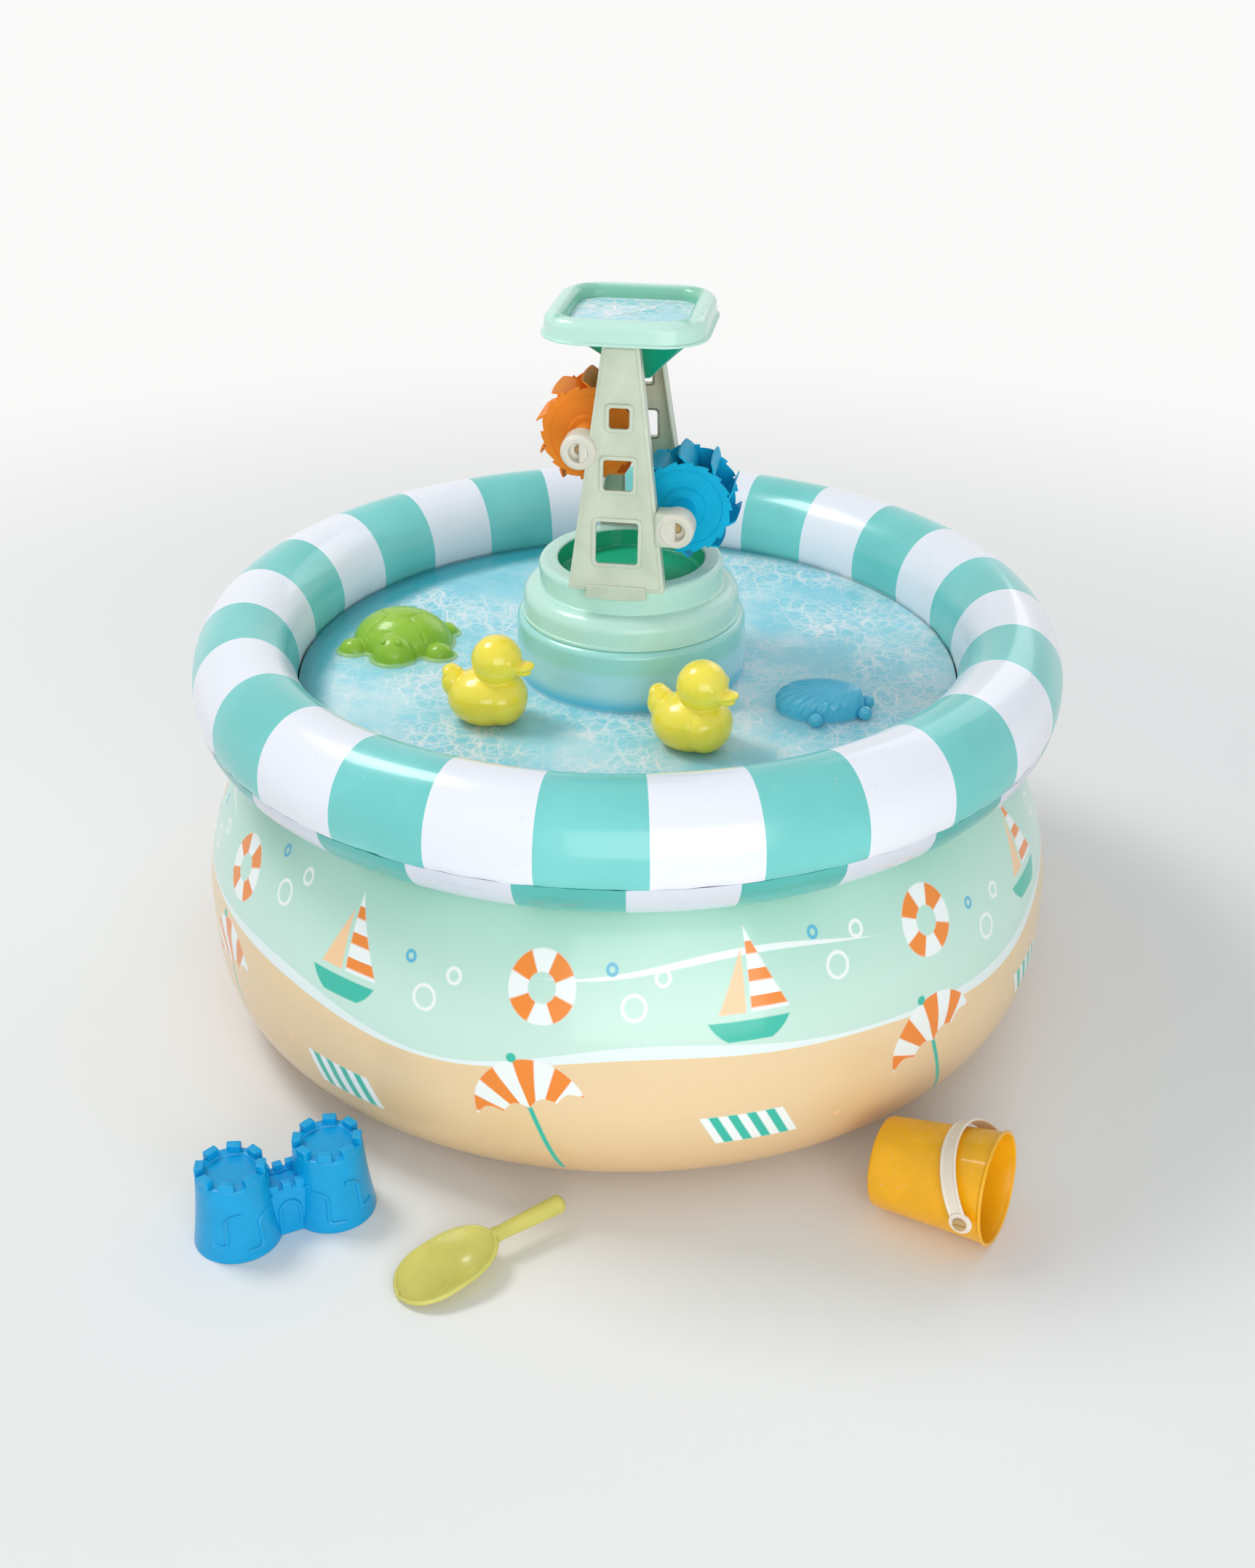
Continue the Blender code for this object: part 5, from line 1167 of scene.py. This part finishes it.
def tube(path, radius, sides=10):  # a round bar along a path, its ring carried on without twist
    path = [Vector(point) for point in path]
    loops, side = [], None
    for index, (point, along) in enumerate(zip(path, tangents(path))):
        side = (side - along * side.dot(along)).normalized() if side else along.orthogonal().normalized()
        up = along.cross(side)
        size = radius[index] if isinstance(radius, (list, tuple)) else radius
        loops.append([point + (side * cos(a) + up * sin(a)) * size for a in spread(0, 2 * pi, sides)[:-1]])
    return lofted(loops)


def carved(mesh, cutter):
    piece, tool = linked(mesh, "carved"), linked(cutter, "cutter")
    modified(piece, "BOOLEAN", operation="DIFFERENCE", solver="MANIFOLD", object=tool)
    made = evaluated(piece)
    bpy.data.objects.remove(tool, do_unlink=True)
    return made


def walled(mesh, thickness):  # an open skin given a wall on its inner side
    piece = linked(mesh, "walled")
    modified(piece, "SOLIDIFY", thickness=thickness, offset=-1.0, use_even_offset=True)
    return evaluated(piece)


# Turtle mould: domes melted together over a thin brim, open below
turtle = dict(place=(-0.253, 0.055, 0.3803), turn=-8.0, shell=(0.056, 0.046, 0.040), head=(0.0245, 0.0245, 0.027),
              headY=-0.041, flipper=(0.0165, 0.0145, 0.015), flipperAt=(0.049, -0.030), foot=(0.0135, 0.0125, 0.013),
              footAt=(0.043, 0.031), brim=0.0035, brimThick=0.002, wall=0.002, voxel=0.0008, groove=0.0015,
              grooveWide=0.0014, plate=(0.0250, 0.0205), plateY=0.006, plateSides=6, grooveReach=2.6, eye=0.0034,
              eyeAt=(0.0085, -0.010), cutter=(0.09, 0.012), lime="9CCB3B")


def turtleLobes(grow):
    t = turtle
    spots = [((0, 0), t["shell"]), ((0, t["headY"]), t["head"])]
    for side in (-1, 1):
        spots += [((side * t[k + "At"][0], t[k + "At"][1]), t[k]) for k in ("flipper", "foot")]
    return [((x, y, 0), [radius + grow for radius in radii]) for (x, y), radii in spots]


def turtleMesh():
    t = turtle
    shells = [ellipsoid(middle, radii, 48) for middle, radii in turtleLobes(0)]
    for (x, y, z), (wide, deep, high) in turtleLobes(t["brim"]):
        shells.append(lofted([[(x + wide * cos(a), y + deep * sin(a), level) for a in spread(0, 2 * pi, 64)[:-1]]
                              for level in (-0.004, t["brimThick"])]))
    solid = fused(shells, t["voxel"], 4)
    wide, deep = t["cutter"]
    below = plate([[(-wide, -wide), (wide, -wide), (wide, wide), (-wide, wide)]], deep, 0,
                  Matrix.Translation((0, 0, -deep / 2)))
    hollow = fused([ellipsoid(middle, radii, 48) for middle, radii in turtleLobes(-t["wall"])] + [below], 0.0016)
    mesh = carved(solid, hollow)
    turns = [2 * pi * (i + 0.5) / t["plateSides"] for i in range(t["plateSides"])]
    corners = [Vector((t["plate"][0] * sin(a), t["plateY"] - t["plate"][1] * cos(a))) for a in turns]
    lines = list(zip(corners, corners[1:] + corners[:1])) + [(c, c * t["grooveReach"]) for c in corners]
    outward = [vert.normal.copy() for vert in mesh.vertices]
    for vert, normal in zip(mesh.vertices, outward):
        if vert.co.z < t["brimThick"] * 2 or normal.dot(vert.co + Vector((0, 0, 0.02))) < 0:
            continue
        flat = vert.co.xy
        near = 1.0
        for a, b in lines:
            share = max(0.0, min(1.0, (flat - a).dot(b - a) / (b - a).length_squared))
            near = min(near, (flat - a - (b - a) * share).length)
        inShell = (flat.x / t["shell"][0]) ** 2 + (flat.y / t["shell"][1]) ** 2 < 0.98
        if inShell and hypot(flat.x, flat.y - t["headY"]) > t["head"][0] * 0.9:
            vert.co -= normal * t["groove"] * exp(-(near / t["grooveWide"]) ** 2)
    eyes = []
    for side in (-1, 1):
        x, y = side * t["eyeAt"][0], t["eyeAt"][1]
        lift = sqrt(1 - (x / t["head"][0]) ** 2 - (y / t["head"][1]) ** 2)
        eyes.append(ellipsoid((x, t["headY"] + y, t["head"][2] * lift), [t["eye"]] * 3, 20))
    return gathered([mesh] + eyes)


finished("turtle_toy", turtleMesh(), "turtle",
         moulded("lime plastic", turtle["lime"], 0.27, 0.25, 0.05), ["turtle_mould"], 60,
         standing(turtle["place"], turtle["turn"]))

# Scallop mould: a ribbed fan on a plain skirt, with three balls
scallop = dict(place=(0.202, -0.114, 0.3803), turn=-12.0, length=0.096, width=0.080, height=0.030, skirt=0.010,
               hinge=0.34, taper=0.2, crown=((1.0, 0.0), (0.975, 0.20), (0.92, 0.42), (0.82, 0.62), (0.66, 0.80),
                                             (0.5, 0.92), (0.34, 0.97), (0.2, 1.0), (0.06, 1.0)),
               ribs=11, ribDepth=0.0022, ball=0.0075, balls=((0, -0.040), (0.048, -0.0133), (0.048, 0.0133)),
               wall=0.002, sides=220, sky="5CC8EA")


def scallopMesh():
    s = scallop
    hinge = s["hinge"] * s["length"]

    def loop(share, z, ribs):
        points = []
        for t in spread(0, 2 * pi, s["sides"])[:-1]:
            fan = (1 - cos(t)) / 2
            rib = s["ribDepth"] * fan * cos(2 * s["ribs"] * t) * share * ribs
            x = (s["length"] / 2 - s["ribDepth"] + rib) * cos(t)
            y = (s["width"] / 2 - s["ribDepth"] + rib) * sin(t) * (1 - s["taper"] * (1 - fan))
            points.append((hinge + (x - hinge) * share, y * share, z + rib * 0.7 * ribs * (1 - share * 0.4)))
        return points

    loops = [loop(1.0, s["skirt"] * v, 0.35 + 0.35 * v) for v in (0.0, 0.35, 0.7, 0.94)]
    loops += [loop(share, s["skirt"] + (s["height"] - s["skirt"]) * rise, 1.0) for share, rise in s["crown"]]
    shape = bmesh.new()
    shape.from_mesh(lofted(loops, capped=False))
    edges = [edge for edge in shape.edges if edge.is_boundary and edge.verts[0].co.z > s["height"] * 0.8]
    bmesh.ops.contextual_create(shape, geom=edges)
    bmesh.ops.recalc_face_normals(shape, faces=shape.faces)
    if sum(face.normal.z * face.calc_area() for face in shape.faces) < 0:
        bmesh.ops.reverse_faces(shape, faces=shape.faces)
    skin = walled(meshOf(shape, "scallop"), s["wall"])
    balls = [ellipsoid((x, y, s["ball"]), [s["ball"]] * 3, 28) for x, y in s["balls"]]
    return gathered([skin] + balls)


finished("scallop_toy", scallopMesh(), "shell", moulded("sky plastic", scallop["sky"], 0.24, 0.3, 0.04),
         ["shell_mould"], 50, standing(scallop["place"], scallop["turn"]))
print("floating moulds done")

# Castle mould: two hollow towers and a curtain between them
castle = dict(place=(-0.335, -0.470, 0.0), turn=26.0, towerX=0.048, foot=0.0425, top=0.034, height=0.080,
              flare=0.0020, merlons=8, merlon=(0.0146, 0.009, 0.0075), recess=0.0022, recessRadius=0.0240,
              wall=0.002, curtainHalf=0.019, curtainHeight=0.052, curtainLean=0.002, walkIn=0.006,
              teeth=(-0.0128, 0.0, 0.0128), tooth=(0.0046, 0.0036, 0.009), ridge=0.0023, ridgeIn=0.0002,
              ridges=((-118, 0.018, 0.052, 1), (-68, 0.011, 0.044, 1), (-20, 0.020, 0.050, -1), (62, 0.018, 0.050, 1),
                      (118, 0.013, 0.045, 1)),
              gate=0.010, gateFoot=0.007, gateSpring=0.026, gateRise=0.012, sides=96, sky="06A6E0")


def castleRadius(z):
    c = castle
    return mix(c["foot"], c["top"], z / c["height"]) - c["flare"] * sin(pi * min(z / c["height"], 1.0)) * 0.5


def castleTower():
    c = castle
    outer = [(castleRadius(z), z) for z in spread(0.0, c["height"] - 0.0022, 12)]
    outer += [(c["top"] - 0.0005, c["height"] - 0.0008), (c["top"] - 0.002, c["height"]),
              (c["recessRadius"] + 0.0010, c["height"]), (c["recessRadius"], c["height"] - 0.0006),
              (c["recessRadius"] - 0.0008, c["height"] - c["recess"]), (0.0, c["height"] - c["recess"])]
    roof = c["height"] - c["recess"] - c["wall"]
    inner = [(castleRadius(z) - c["wall"], z) for z in spread(0.0, roof - 0.0025, 6)]
    inner += [(c["top"] - c["wall"] - 0.0025, roof), (0.0, roof)]
    return turned(outer + inner[::-1], c["sides"])


def castleMesh(recipe):
    c = castle
    wide, deep, high = c["merlon"]
    block = rounded([(-wide / 2, -deep / 2), (wide / 2, -deep / 2), (wide * 0.44, deep / 2), (-wide * 0.44, deep / 2)],
                    0.0016)
    shells = []
    for side in (-1, 1):
        place = Matrix.Translation((side * c["towerX"], 0, 0))
        tooth = plate([block], high + 0.002, 0.0011,
                      Matrix.Translation((0, -(c["top"] - deep / 2 - 0.0004), c["height"] + high / 2 - 0.001)))
        shells += [castleTower(), roundAxis(tooth, c["merlons"], recipe, pi / c["merlons"])]
        shells[-1].transform(place)
        shells[-2].transform(place)
    reach = c["towerX"] - c["top"] + 0.006
    half, lean = c["curtainHalf"], c["curtainLean"]
    high, step = c["curtainHeight"], 0.0018 + c["wall"]
    loops = []
    for inset, z in ((-lean, 0.0), (0.0, high - 0.0015), (0.0015, high), (0.0080, high), (0.0086, high - 0.0006),
                     (0.0086, high - step), (c["wall"] + 0.001, high - step), (c["wall"] - lean, 0.0)):
        far, wide = reach - inset * 0.3, half - inset
        loops.append([(-far, -wide, z), (far, -wide, z), (far, wide, z), (-far, wide, z)])
    inside = half - c["walkIn"]
    walk = [(-reach, -inside), (reach, -inside), (reach, inside), (-reach, inside)]
    shells += [lofted(loops, ring=True),
               plate([walk], c["wall"], 0.0, Matrix.Translation((0, 0, high - 0.0008 - c["wall"])))]
    wide, deep, tall = c["tooth"]
    block = rounded([(-wide, -deep), (wide, -deep), (wide, deep), (-wide, deep)], 0.0012)
    for side in (-1, 1):
        for x in c["teeth"]:
            shells.append(plate([block], tall, 0.0009, Matrix.Translation((x, side * (half - 0.0040), high + 0.0025))))
    for side in (-1, 1):  # moulded stone edges on the towers
        for turn, low, tall, way in c["ridges"]:
            turn = turn if side < 0 else -180 - turn
            way = way * -side
            points = [(turn - 22 * way, low), (turn - 4 * way, low), (turn, low + 0.003), (turn, tall - 0.006),
                      (turn + 5 * way, tall - 0.002), (turn + 14 * way, tall), (turn + 26 * way, tall + 0.001)]
            path = []
            for (a, z), (b, w) in zip(points, points[1:]):
                path += [(mix(a, b, s), mix(z, w, s)) for s in (0.0, 0.25, 0.5, 0.75)]
            rounds = [(castleRadius(z) - c["ridgeIn"], radians(a), z) for a, z in path]
            path = [(side * c["towerX"] + r * cos(a), r * sin(a), z) for r, a, z in rounds]
            shells.append(tube(path, c["ridge"], 8))
    gate, foot, spring, rise = c["gate"], c["gateFoot"], c["gateSpring"], c["gateRise"]
    for side in (-1, 1):  # gate arch on the curtain
        path = [(-gate, side * (half + 0.0014), foot), (-gate, side * (half + 0.0010), spring)]
        path += [(gate * cos(a), side * (half + 0.0006), spring + rise * sin(a)) for a in spread(pi, 0, 14)[1:]]
        path += [(gate, side * (half + 0.0014), foot)]
        shells.append(tube(path, c["ridge"], 8))
    return gathered(shells)


castleBlue = moulded("castle plastic", castle["sky"], 0.33, 0.12, 0.04)
finished("castle_toy", castleMesh(castleBlue), "castle", castleBlue, ["castle_mould"], 38,
         standing(castle["place"], castle["turn"]))

# Scoop: a dished bowl with a rolled rim, and a round handle on its heel
scoopSet = dict(place=(-0.128, -0.523, 0.0), turn=34.0, length=0.102, half=0.034, depth=0.026, wall=0.0025,
                nose=0.40, heel=0.50, oval=2.2, least=0.10, lip=0.10, rowPower=1.6, power=2.4, rim=0.0021,
                gripStart=(-0.0015, 0.0, 0.0232), grip=0.081,
                gripRadius=(0.0070, 0.0096), gripRise=0.004, flare=0.0022, steps=48, across=32, straw="D6CF6B")


def scoopMesh():
    s = scoopSet
    shape = bmesh.new()
    rows, edges = [], ([], [])
    for step in spread(0.0, 1.0, s["steps"]):
        u = step ** s["rowPower"]
        front = max(1 - u / s["nose"], 0.0)
        back = max(u - s["heel"], 0.0) / (1 - s["heel"])
        width = s["half"] * min(max(sqrt(1 - end ** s["oval"]), s["least"]) for end in (front, back))
        rimZ = s["depth"] * mix(s["lip"], 1.0, u ** 0.8)
        floorZ = s["depth"] * 0.99 * back ** 3
        row = []
        for v in spread(-1.0, 1.0, s["across"]):
            row.append(Vector((-s["length"] * (1 - u), width * v, floorZ + (rimZ - floorZ) * abs(v) ** s["power"])))
        edges[0].append(row[0])
        edges[1].append(row[-1])
        rows.append([shape.verts.new(point) for point in row])
    nose = [vert.co.copy() for vert in rows[0]]
    for low, high in zip(rows, rows[1:]):
        for i in range(s["across"]):
            shape.faces.new((low[i], low[i + 1], high[i + 1], high[i]))
    for face in shape.faces:
        face.normal_update()
    if sum(face.normal.z for face in shape.faces) > 0:
        bmesh.ops.reverse_faces(shape, faces=shape.faces)
    blade = walled(meshOf(shape, "blade"), s["wall"])
    rim = edges[0][::-1] + nose[1:-1] + edges[1] + edges[0][-1:]
    start = Vector(s["gripStart"])
    bar, sizes = [], []
    for share in spread(0.0, 1.0, 48):
        bar.append(start + Vector((s["grip"] * share, 0, s["gripRise"] * share)))
        swell = mix(s["gripRadius"][0], s["gripRadius"][1], share) + s["flare"] * max(0.0, 1 - share / 0.16) ** 2
        close = 1 - max(0.0, (share - 0.91) / 0.09) ** 2.4
        root = min(1.0, 0.45 + share / 0.07)
        sizes.append(max(swell * root * sqrt(max(close, 0.0)), 0.0006))
    mesh = gathered([blade, tube(rim, s["rim"], 12), tube(bar, sizes, 32)])
    low = min(vert.co.z for vert in mesh.vertices)
    mesh.transform(Matrix.Translation((0, 0, -low)))
    return mesh


finished("scoop_toy", scoopMesh(), "scoop",
         moulded("straw plastic", scoopSet["straw"], 0.3, 0.2, 0.05), ["scoop"], 45,
         standing(scoopSet["place"], scoopSet["turn"]))
print("dry moulds done")

# Bucket on its side, its strap handle and the two slotted pins
pail = dict(place=(0.252, -0.436), heading=-28.0, roll=-90.0, base=0.045, mouth=0.0545, length=0.118, wall=0.002,
            corner=0.004, dent=0.0012, dentEdge=(0.008, 0.007), bead=0.0018, pivot=0.101, boss=0.0065, swing=114.5,
            arch=0.0598, strap=0.003, strapWidth=0.0165, eye=0.0112,
            pin=0.0035, pinHead=0.0066, pinThick=0.0022, pinGap=0.0003, slot=0.0016, sides=128, amber="FDB813",
            orange="F0782A", lip="FFD83D", cream="F3E6D6", tan="C7A56F")
pitch = atan2(pail["mouth"] + pail["bead"] - pail["base"], pail["length"] - 2 * pail["bead"])
pailPlace = (standing((*pail["place"], pail["base"] * cos(pitch)), pail["heading"])
             @ Matrix.Rotation(pi / 2 - pitch, 4, "Y") @ standing((0, 0, 0), pail["roll"]))


def pailRadius(z):
    return mix(pail["base"], pail["mouth"], z / pail["length"])


def pailMesh():
    p = pail
    high = p["length"] - p["bead"]
    size, dent, (dentIn, dentOut) = p["corner"], p["dent"], p["dentEdge"]
    outer = [(0.0, dent), (p["base"] - dentIn, dent), (p["base"] - dentOut, 0.0)]
    outer += [(p["base"] - size + size * sin(a), size - size * cos(a)) for a in spread(0, pi / 2, 6)]
    outer += [(pailRadius(z), z) for z in spread(0.006, high - p["bead"] * 1.2, 10)]
    bead = [(p["mouth"] + p["bead"] * cos(a), high + p["bead"] * sin(a)) for a in spread(-1.1, pi + 0.2, 14)]
    inner = [(pailRadius(z) - p["wall"], z) for z in spread(high - p["bead"] * 1.2, 0.007, 10)]
    inner += [(p["base"] - p["wall"] - 0.0035, p["wall"] + 0.0006), (p["base"] - p["wall"] - 0.006, p["wall"] + dent),
              (0.0, p["wall"] + dent)]
    tones = [0] * (len(outer) - 1) + [2] * (len(bead) + 1) + [1] * (len(inner) - 1)
    shells = [turned(outer + bead + inner, p["sides"], tones=tones)]
    for side in (-1, 1):  # a round pad under each eye of the handle
        start, end = pailRadius(p["pivot"]) - 0.001, p["arch"] - 0.0004
        pad = turned(rounded([(0.0, start), (p["boss"], start), (p["boss"], end), (0.0, end)], [0, 0, 0.0008, 0]), 40)
        pad.transform(Matrix.Translation((0, 0, p["pivot"])) @ Matrix.Rotation(side * pi / 2, 4, "Y"))
        shells.append(pad)
    return gathered(shells)


def handleMesh():
    p = pail
    half, thick = p["strapWidth"] / 2, p["strap"]
    section = [(0.0003, -half + 0.0006), (0.0003, half - 0.0006), (0.0008, half), (thick - 0.0006, half),
               (thick, half - 0.0008), (thick, half - 0.0020), (thick - 0.0008, half - 0.0030),
               (thick - 0.0008, -half + 0.0030), (thick, -half + 0.0020), (thick, -half + 0.0008),
               (thick - 0.0006, -half), (0.0008, -half)]
    loops = []
    for turn in spread(0, pi, 72):
        slack = 0.94 + 0.06 * min(1.0, 4 * min(turn, pi - turn) / pi)
        loops.append([((p["arch"] + r) * cos(turn), y * slack, (p["arch"] + r) * sin(turn)) for r, y in section])
    shells = [lofted(loops)]
    eye = [circle(p["eye"], 48), circle(p["pin"] + 0.0002, 32)]
    for side in (-1, 1):
        place = Matrix.Translation((side * (p["arch"] + thick / 2 + 0.00015), 0, 0)) @ faceRight
        shells.append(plate(eye, thick - 0.0003, 0.0005, place))
    return gathered(shells)


def pinMesh():
    p = pail
    root, under = pailRadius(p["pivot"]) - 0.001, p["arch"] + p["strap"] + p["pinGap"]
    collar = p["pinThick"] - 0.0010
    section = rounded([(0.0, root), (p["pin"], root), (p["pin"], under), (p["pinHead"], under),
                       (p["pinHead"], under + collar), (0.0, under + collar)], [0, 0, 0, 0.0004, 0, 0], 3)
    shells = [turned(section, 48)]
    start = acos(p["slot"] / 2 / p["pinHead"])
    moon = [(p["pinHead"] * sin(a), p["pinHead"] * cos(a)) for a in spread(-start, start, 24)]
    for side in (0, pi):
        shells.append(plate([moon], 0.0011, 0.0003, Matrix.Rotation(side, 4, "Z")
                            @ Matrix.Translation((0, 0, under + collar + 0.0005))))
    return gathered(shells)


mesh = pailMesh()
mesh.materials.clear()
# the inside faces take a deeper orange than the outside: painted shade in the bucket's hollow
for name, code in (("amber plastic", "amber"), ("amber plastic, inside", "orange"), ("amber plastic, lip", "lip")):
    mesh.materials.append(moulded(name, pail[code], 0.27, 0.25, 0.05).material)
finished("pail", mesh, "bucket", None, ["bucket"], 40, pailPlace)
archPlace = pailPlace @ Matrix.Translation((0, 0, pail["pivot"]))
finished("pail_handle", handleMesh(), "handle",
         moulded("cream plastic", pail["cream"], 0.36, 0.12, 0.03), ["bucket_handle"], 35,
         archPlace @ Matrix.Rotation(radians(pail["swing"]), 4, "X"))
pinTan = moulded("pin tan", pail["tan"], 0.4, 0.08)
for name, turn in (("front", 0.0), ("rear", 180.0)):
    finished(name + "_handle_pin", pinMesh(), "bucket", pinTan, ["handle_pin_" + name], 35,
             archPlace @ standing((0, 0, 0), turn) @ faceRight)
print("bucket done")

# Water drops left on the wet pieces, scattered over their upper faces
drops = dict(ring_upper=(900.0, 0.0007, 0.0019, 0.45, 0.425), tower_base=(1500.0, 0.0007, 0.0018, 0.2, 0.44),
             top_tray=(2600.0, 0.0007, 0.0018, 0.25, 0.768), pail=(2600.0, 0.0006, 0.0014, 0.1, 0.045), squash=0.45)


def dropsTree():
    tree, given, result = nodeTree("scattered drops", [("Density", "Float"), ("Least", "Float"), ("Most", "Float"),
                                                       ("Seed", "Int"), ("Finish", "Material")])
    scatter = tree.nodes.new("GeometryNodeDistributePointsOnFaces")
    ball = tree.nodes.new("GeometryNodeMeshIcoSphere")
    ball.inputs["Subdivisions"].default_value = 2
    squash = tree.nodes.new("GeometryNodeTransform")
    squash.inputs["Scale"].default_value = (1, 1, drops["squash"])
    size = tree.nodes.new("FunctionNodeRandomValue")
    copies = tree.nodes.new("GeometryNodeInstanceOnPoints")
    wired(tree, (given.outputs["Geometry"], scatter.inputs["Mesh"]), (given.outputs["Seed"], scatter.inputs["Seed"]),
          (given.outputs["Density"], scatter.inputs["Density"]), (given.outputs["Least"], size.inputs[2]),
          (given.outputs["Most"], size.inputs[3]), (given.outputs["Seed"], size.inputs["Seed"]),
          (ball.outputs["Mesh"], squash.inputs["Geometry"]), (squash.outputs[0], copies.inputs["Instance"]),
          (scatter.outputs["Points"], copies.inputs["Points"]), (size.outputs[1], copies.inputs["Scale"]),
          (scatter.outputs["Rotation"], copies.inputs["Rotation"]))
    return settled(tree, given, result, copies.outputs[0])


def wetFaces(piece, tilt, low):  # the piece's faces that look up, above a height
    shape = bmesh.new()
    shape.from_mesh(bpy.data.objects[piece].data)
    dry = [face for face in shape.faces if face.normal.z < tilt or face.calc_center_median().z < low]
    bmesh.ops.delete(shape, geom=dry, context="FACES")
    return meshOf(shape, "wet faces")


dropWater = Recipe("water drops", 0.02, 0.0, IOR=1.33, Alpha=0.16, Specular_IOR_Level=0.9)
dropWater.set("Base Color", dropWater.blend(dropWater.grain(60.0), "DDF3F6", "FFFFFF"))
dropScatter = dropsTree()
wetPieces = (("ring_upper", "pool", "ring_film"), ("tower_base", "tower", "mint_plastic"),
             ("top_tray", "tower", "mint_plastic"), ("pail", "bucket", "amber_plastic"))
for seed, (piece, body, slot) in enumerate(wetPieces):
    density, least, most, tilt, low = drops[piece]
    mesh = grown(wetFaces(piece, tilt, low), dropScatter, Density=density, Least=least, Most=most, Seed=seed + 3,
                 Finish=dropWater.material)
    finished(piece + "_drops", mesh, body, dropWater, (), 80)
print("drops done")

# Stage: pale floor, soft lamps and the camera at the photograph's angle
stage = dict(floor="F3F3F1", white="FAFAF9", reach=16.0, fade=(0.95, 2.6), sky="EEF3F8", skyLight=0.52, key=38.0,
             keyPlace=(-1.6, 0.45, 2.9), keySize=1.0, fill=56.0, fillPlace=(0.5, -3.1, 0.8), fillSize=2.6, rim=10.0,
             rimPlace=(1.6, 2.0, 2.0), rimSize=1.6)
lens = dict(place=(0.0, -1.8894, 1.2737), pitch=28.963, length=43.41, sensor=36.0)


def seenRays(tree):  # 1 for rays that see the backdrop, 0 for those that carry its light
    rays = tree.nodes.new("ShaderNodeLightPath")
    found = rays.outputs["Is Camera Ray"]
    for name in ("Is Glossy Ray", "Is Transmission Ray"):
        either = added(tree, "ShaderNodeMath", operation="MAXIMUM")
        wired(tree, (found, either.inputs[0]), (rays.outputs[name], either.inputs[1]))
        found = either.outputs[0]
    return found


def layered(tree, share, first, second, result):  # the second shader shows where the share is 1
    both = tree.nodes.new("ShaderNodeMixShader")
    wired(tree, (share, both.inputs[0]), (first.outputs[0], both.inputs[1]), (second.outputs[0], both.inputs[2]),
          (both.outputs[0], result.inputs["Surface"]))


def floorPaint():  # shaded round the toy, plain white far away
    recipe = Recipe("studio floor", 0.9)
    recipe.set("Base Color", stage["floor"])
    x, y = recipe.xyz()[:2]
    far = recipe.ramp(recipe.span(x, y), *stage["fade"]) * Term(recipe, seenRays(recipe.tree))
    glow = recipe.node("ShaderNodeEmission")
    glow.inputs["Color"].default_value = hexColour(stage["white"])
    layered(recipe.tree, far.socket, recipe.shader, glow, recipe.tree.nodes["Material Output"])
    return recipe


floorMesh = bpy.data.meshes.new("studio floor")
reach = stage["reach"]
floorMesh.from_pydata([(-reach, -reach, 0), (reach, -reach, 0), (reach, reach, 0), (-reach, reach, 0)], [],
                      [(0, 1, 2, 3)])
floorMesh.materials.append(floorPaint().material)
floorMesh.transform(Matrix.Translation((0, 0, cadBox[0].z - 0.0005)))
studioFloor = linked(floorMesh, "studio_floor")

for name in ("key", "fill", "rim"):
    lamp = bpy.data.lights.new(name + " lamp", "AREA")
    lamp.energy = stage[name]
    lamp.size = stage[name + "Size"]
    holder = bpy.data.objects.new(name + "_lamp", lamp)
    holder.location = stage[name + "Place"]
    holder.rotation_euler = (Vector((0, 0, 0.3)) - holder.location).to_track_quat("-Z", "Y").to_euler()
    scene.collection.objects.link(holder)

world = bpy.data.worlds.new("studio sky")
world.use_nodes = True
sky = world.node_tree
sky.nodes["Background"].inputs["Color"].default_value = hexColour(stage["sky"])
sky.nodes["Background"].inputs["Strength"].default_value = stage["skyLight"]
backdrop = sky.nodes.new("ShaderNodeBackground")
backdrop.inputs["Color"].default_value = hexColour(stage["white"])
layered(sky, seenRays(sky), sky.nodes["Background"], backdrop, sky.nodes["World Output"])
scene.world = world
scene.view_settings.view_transform = "Standard"

eye = bpy.data.cameras.new("photo lens")
eye.lens = lens["length"]
eye.sensor_width = lens["sensor"]
camera = bpy.data.objects.new("photo_camera", eye)
camera.location = lens["place"]
camera.rotation_euler = (radians(90 - lens["pitch"]), 0, 0)
scene.collection.objects.link(camera)
scene.camera = camera
print("stage done")
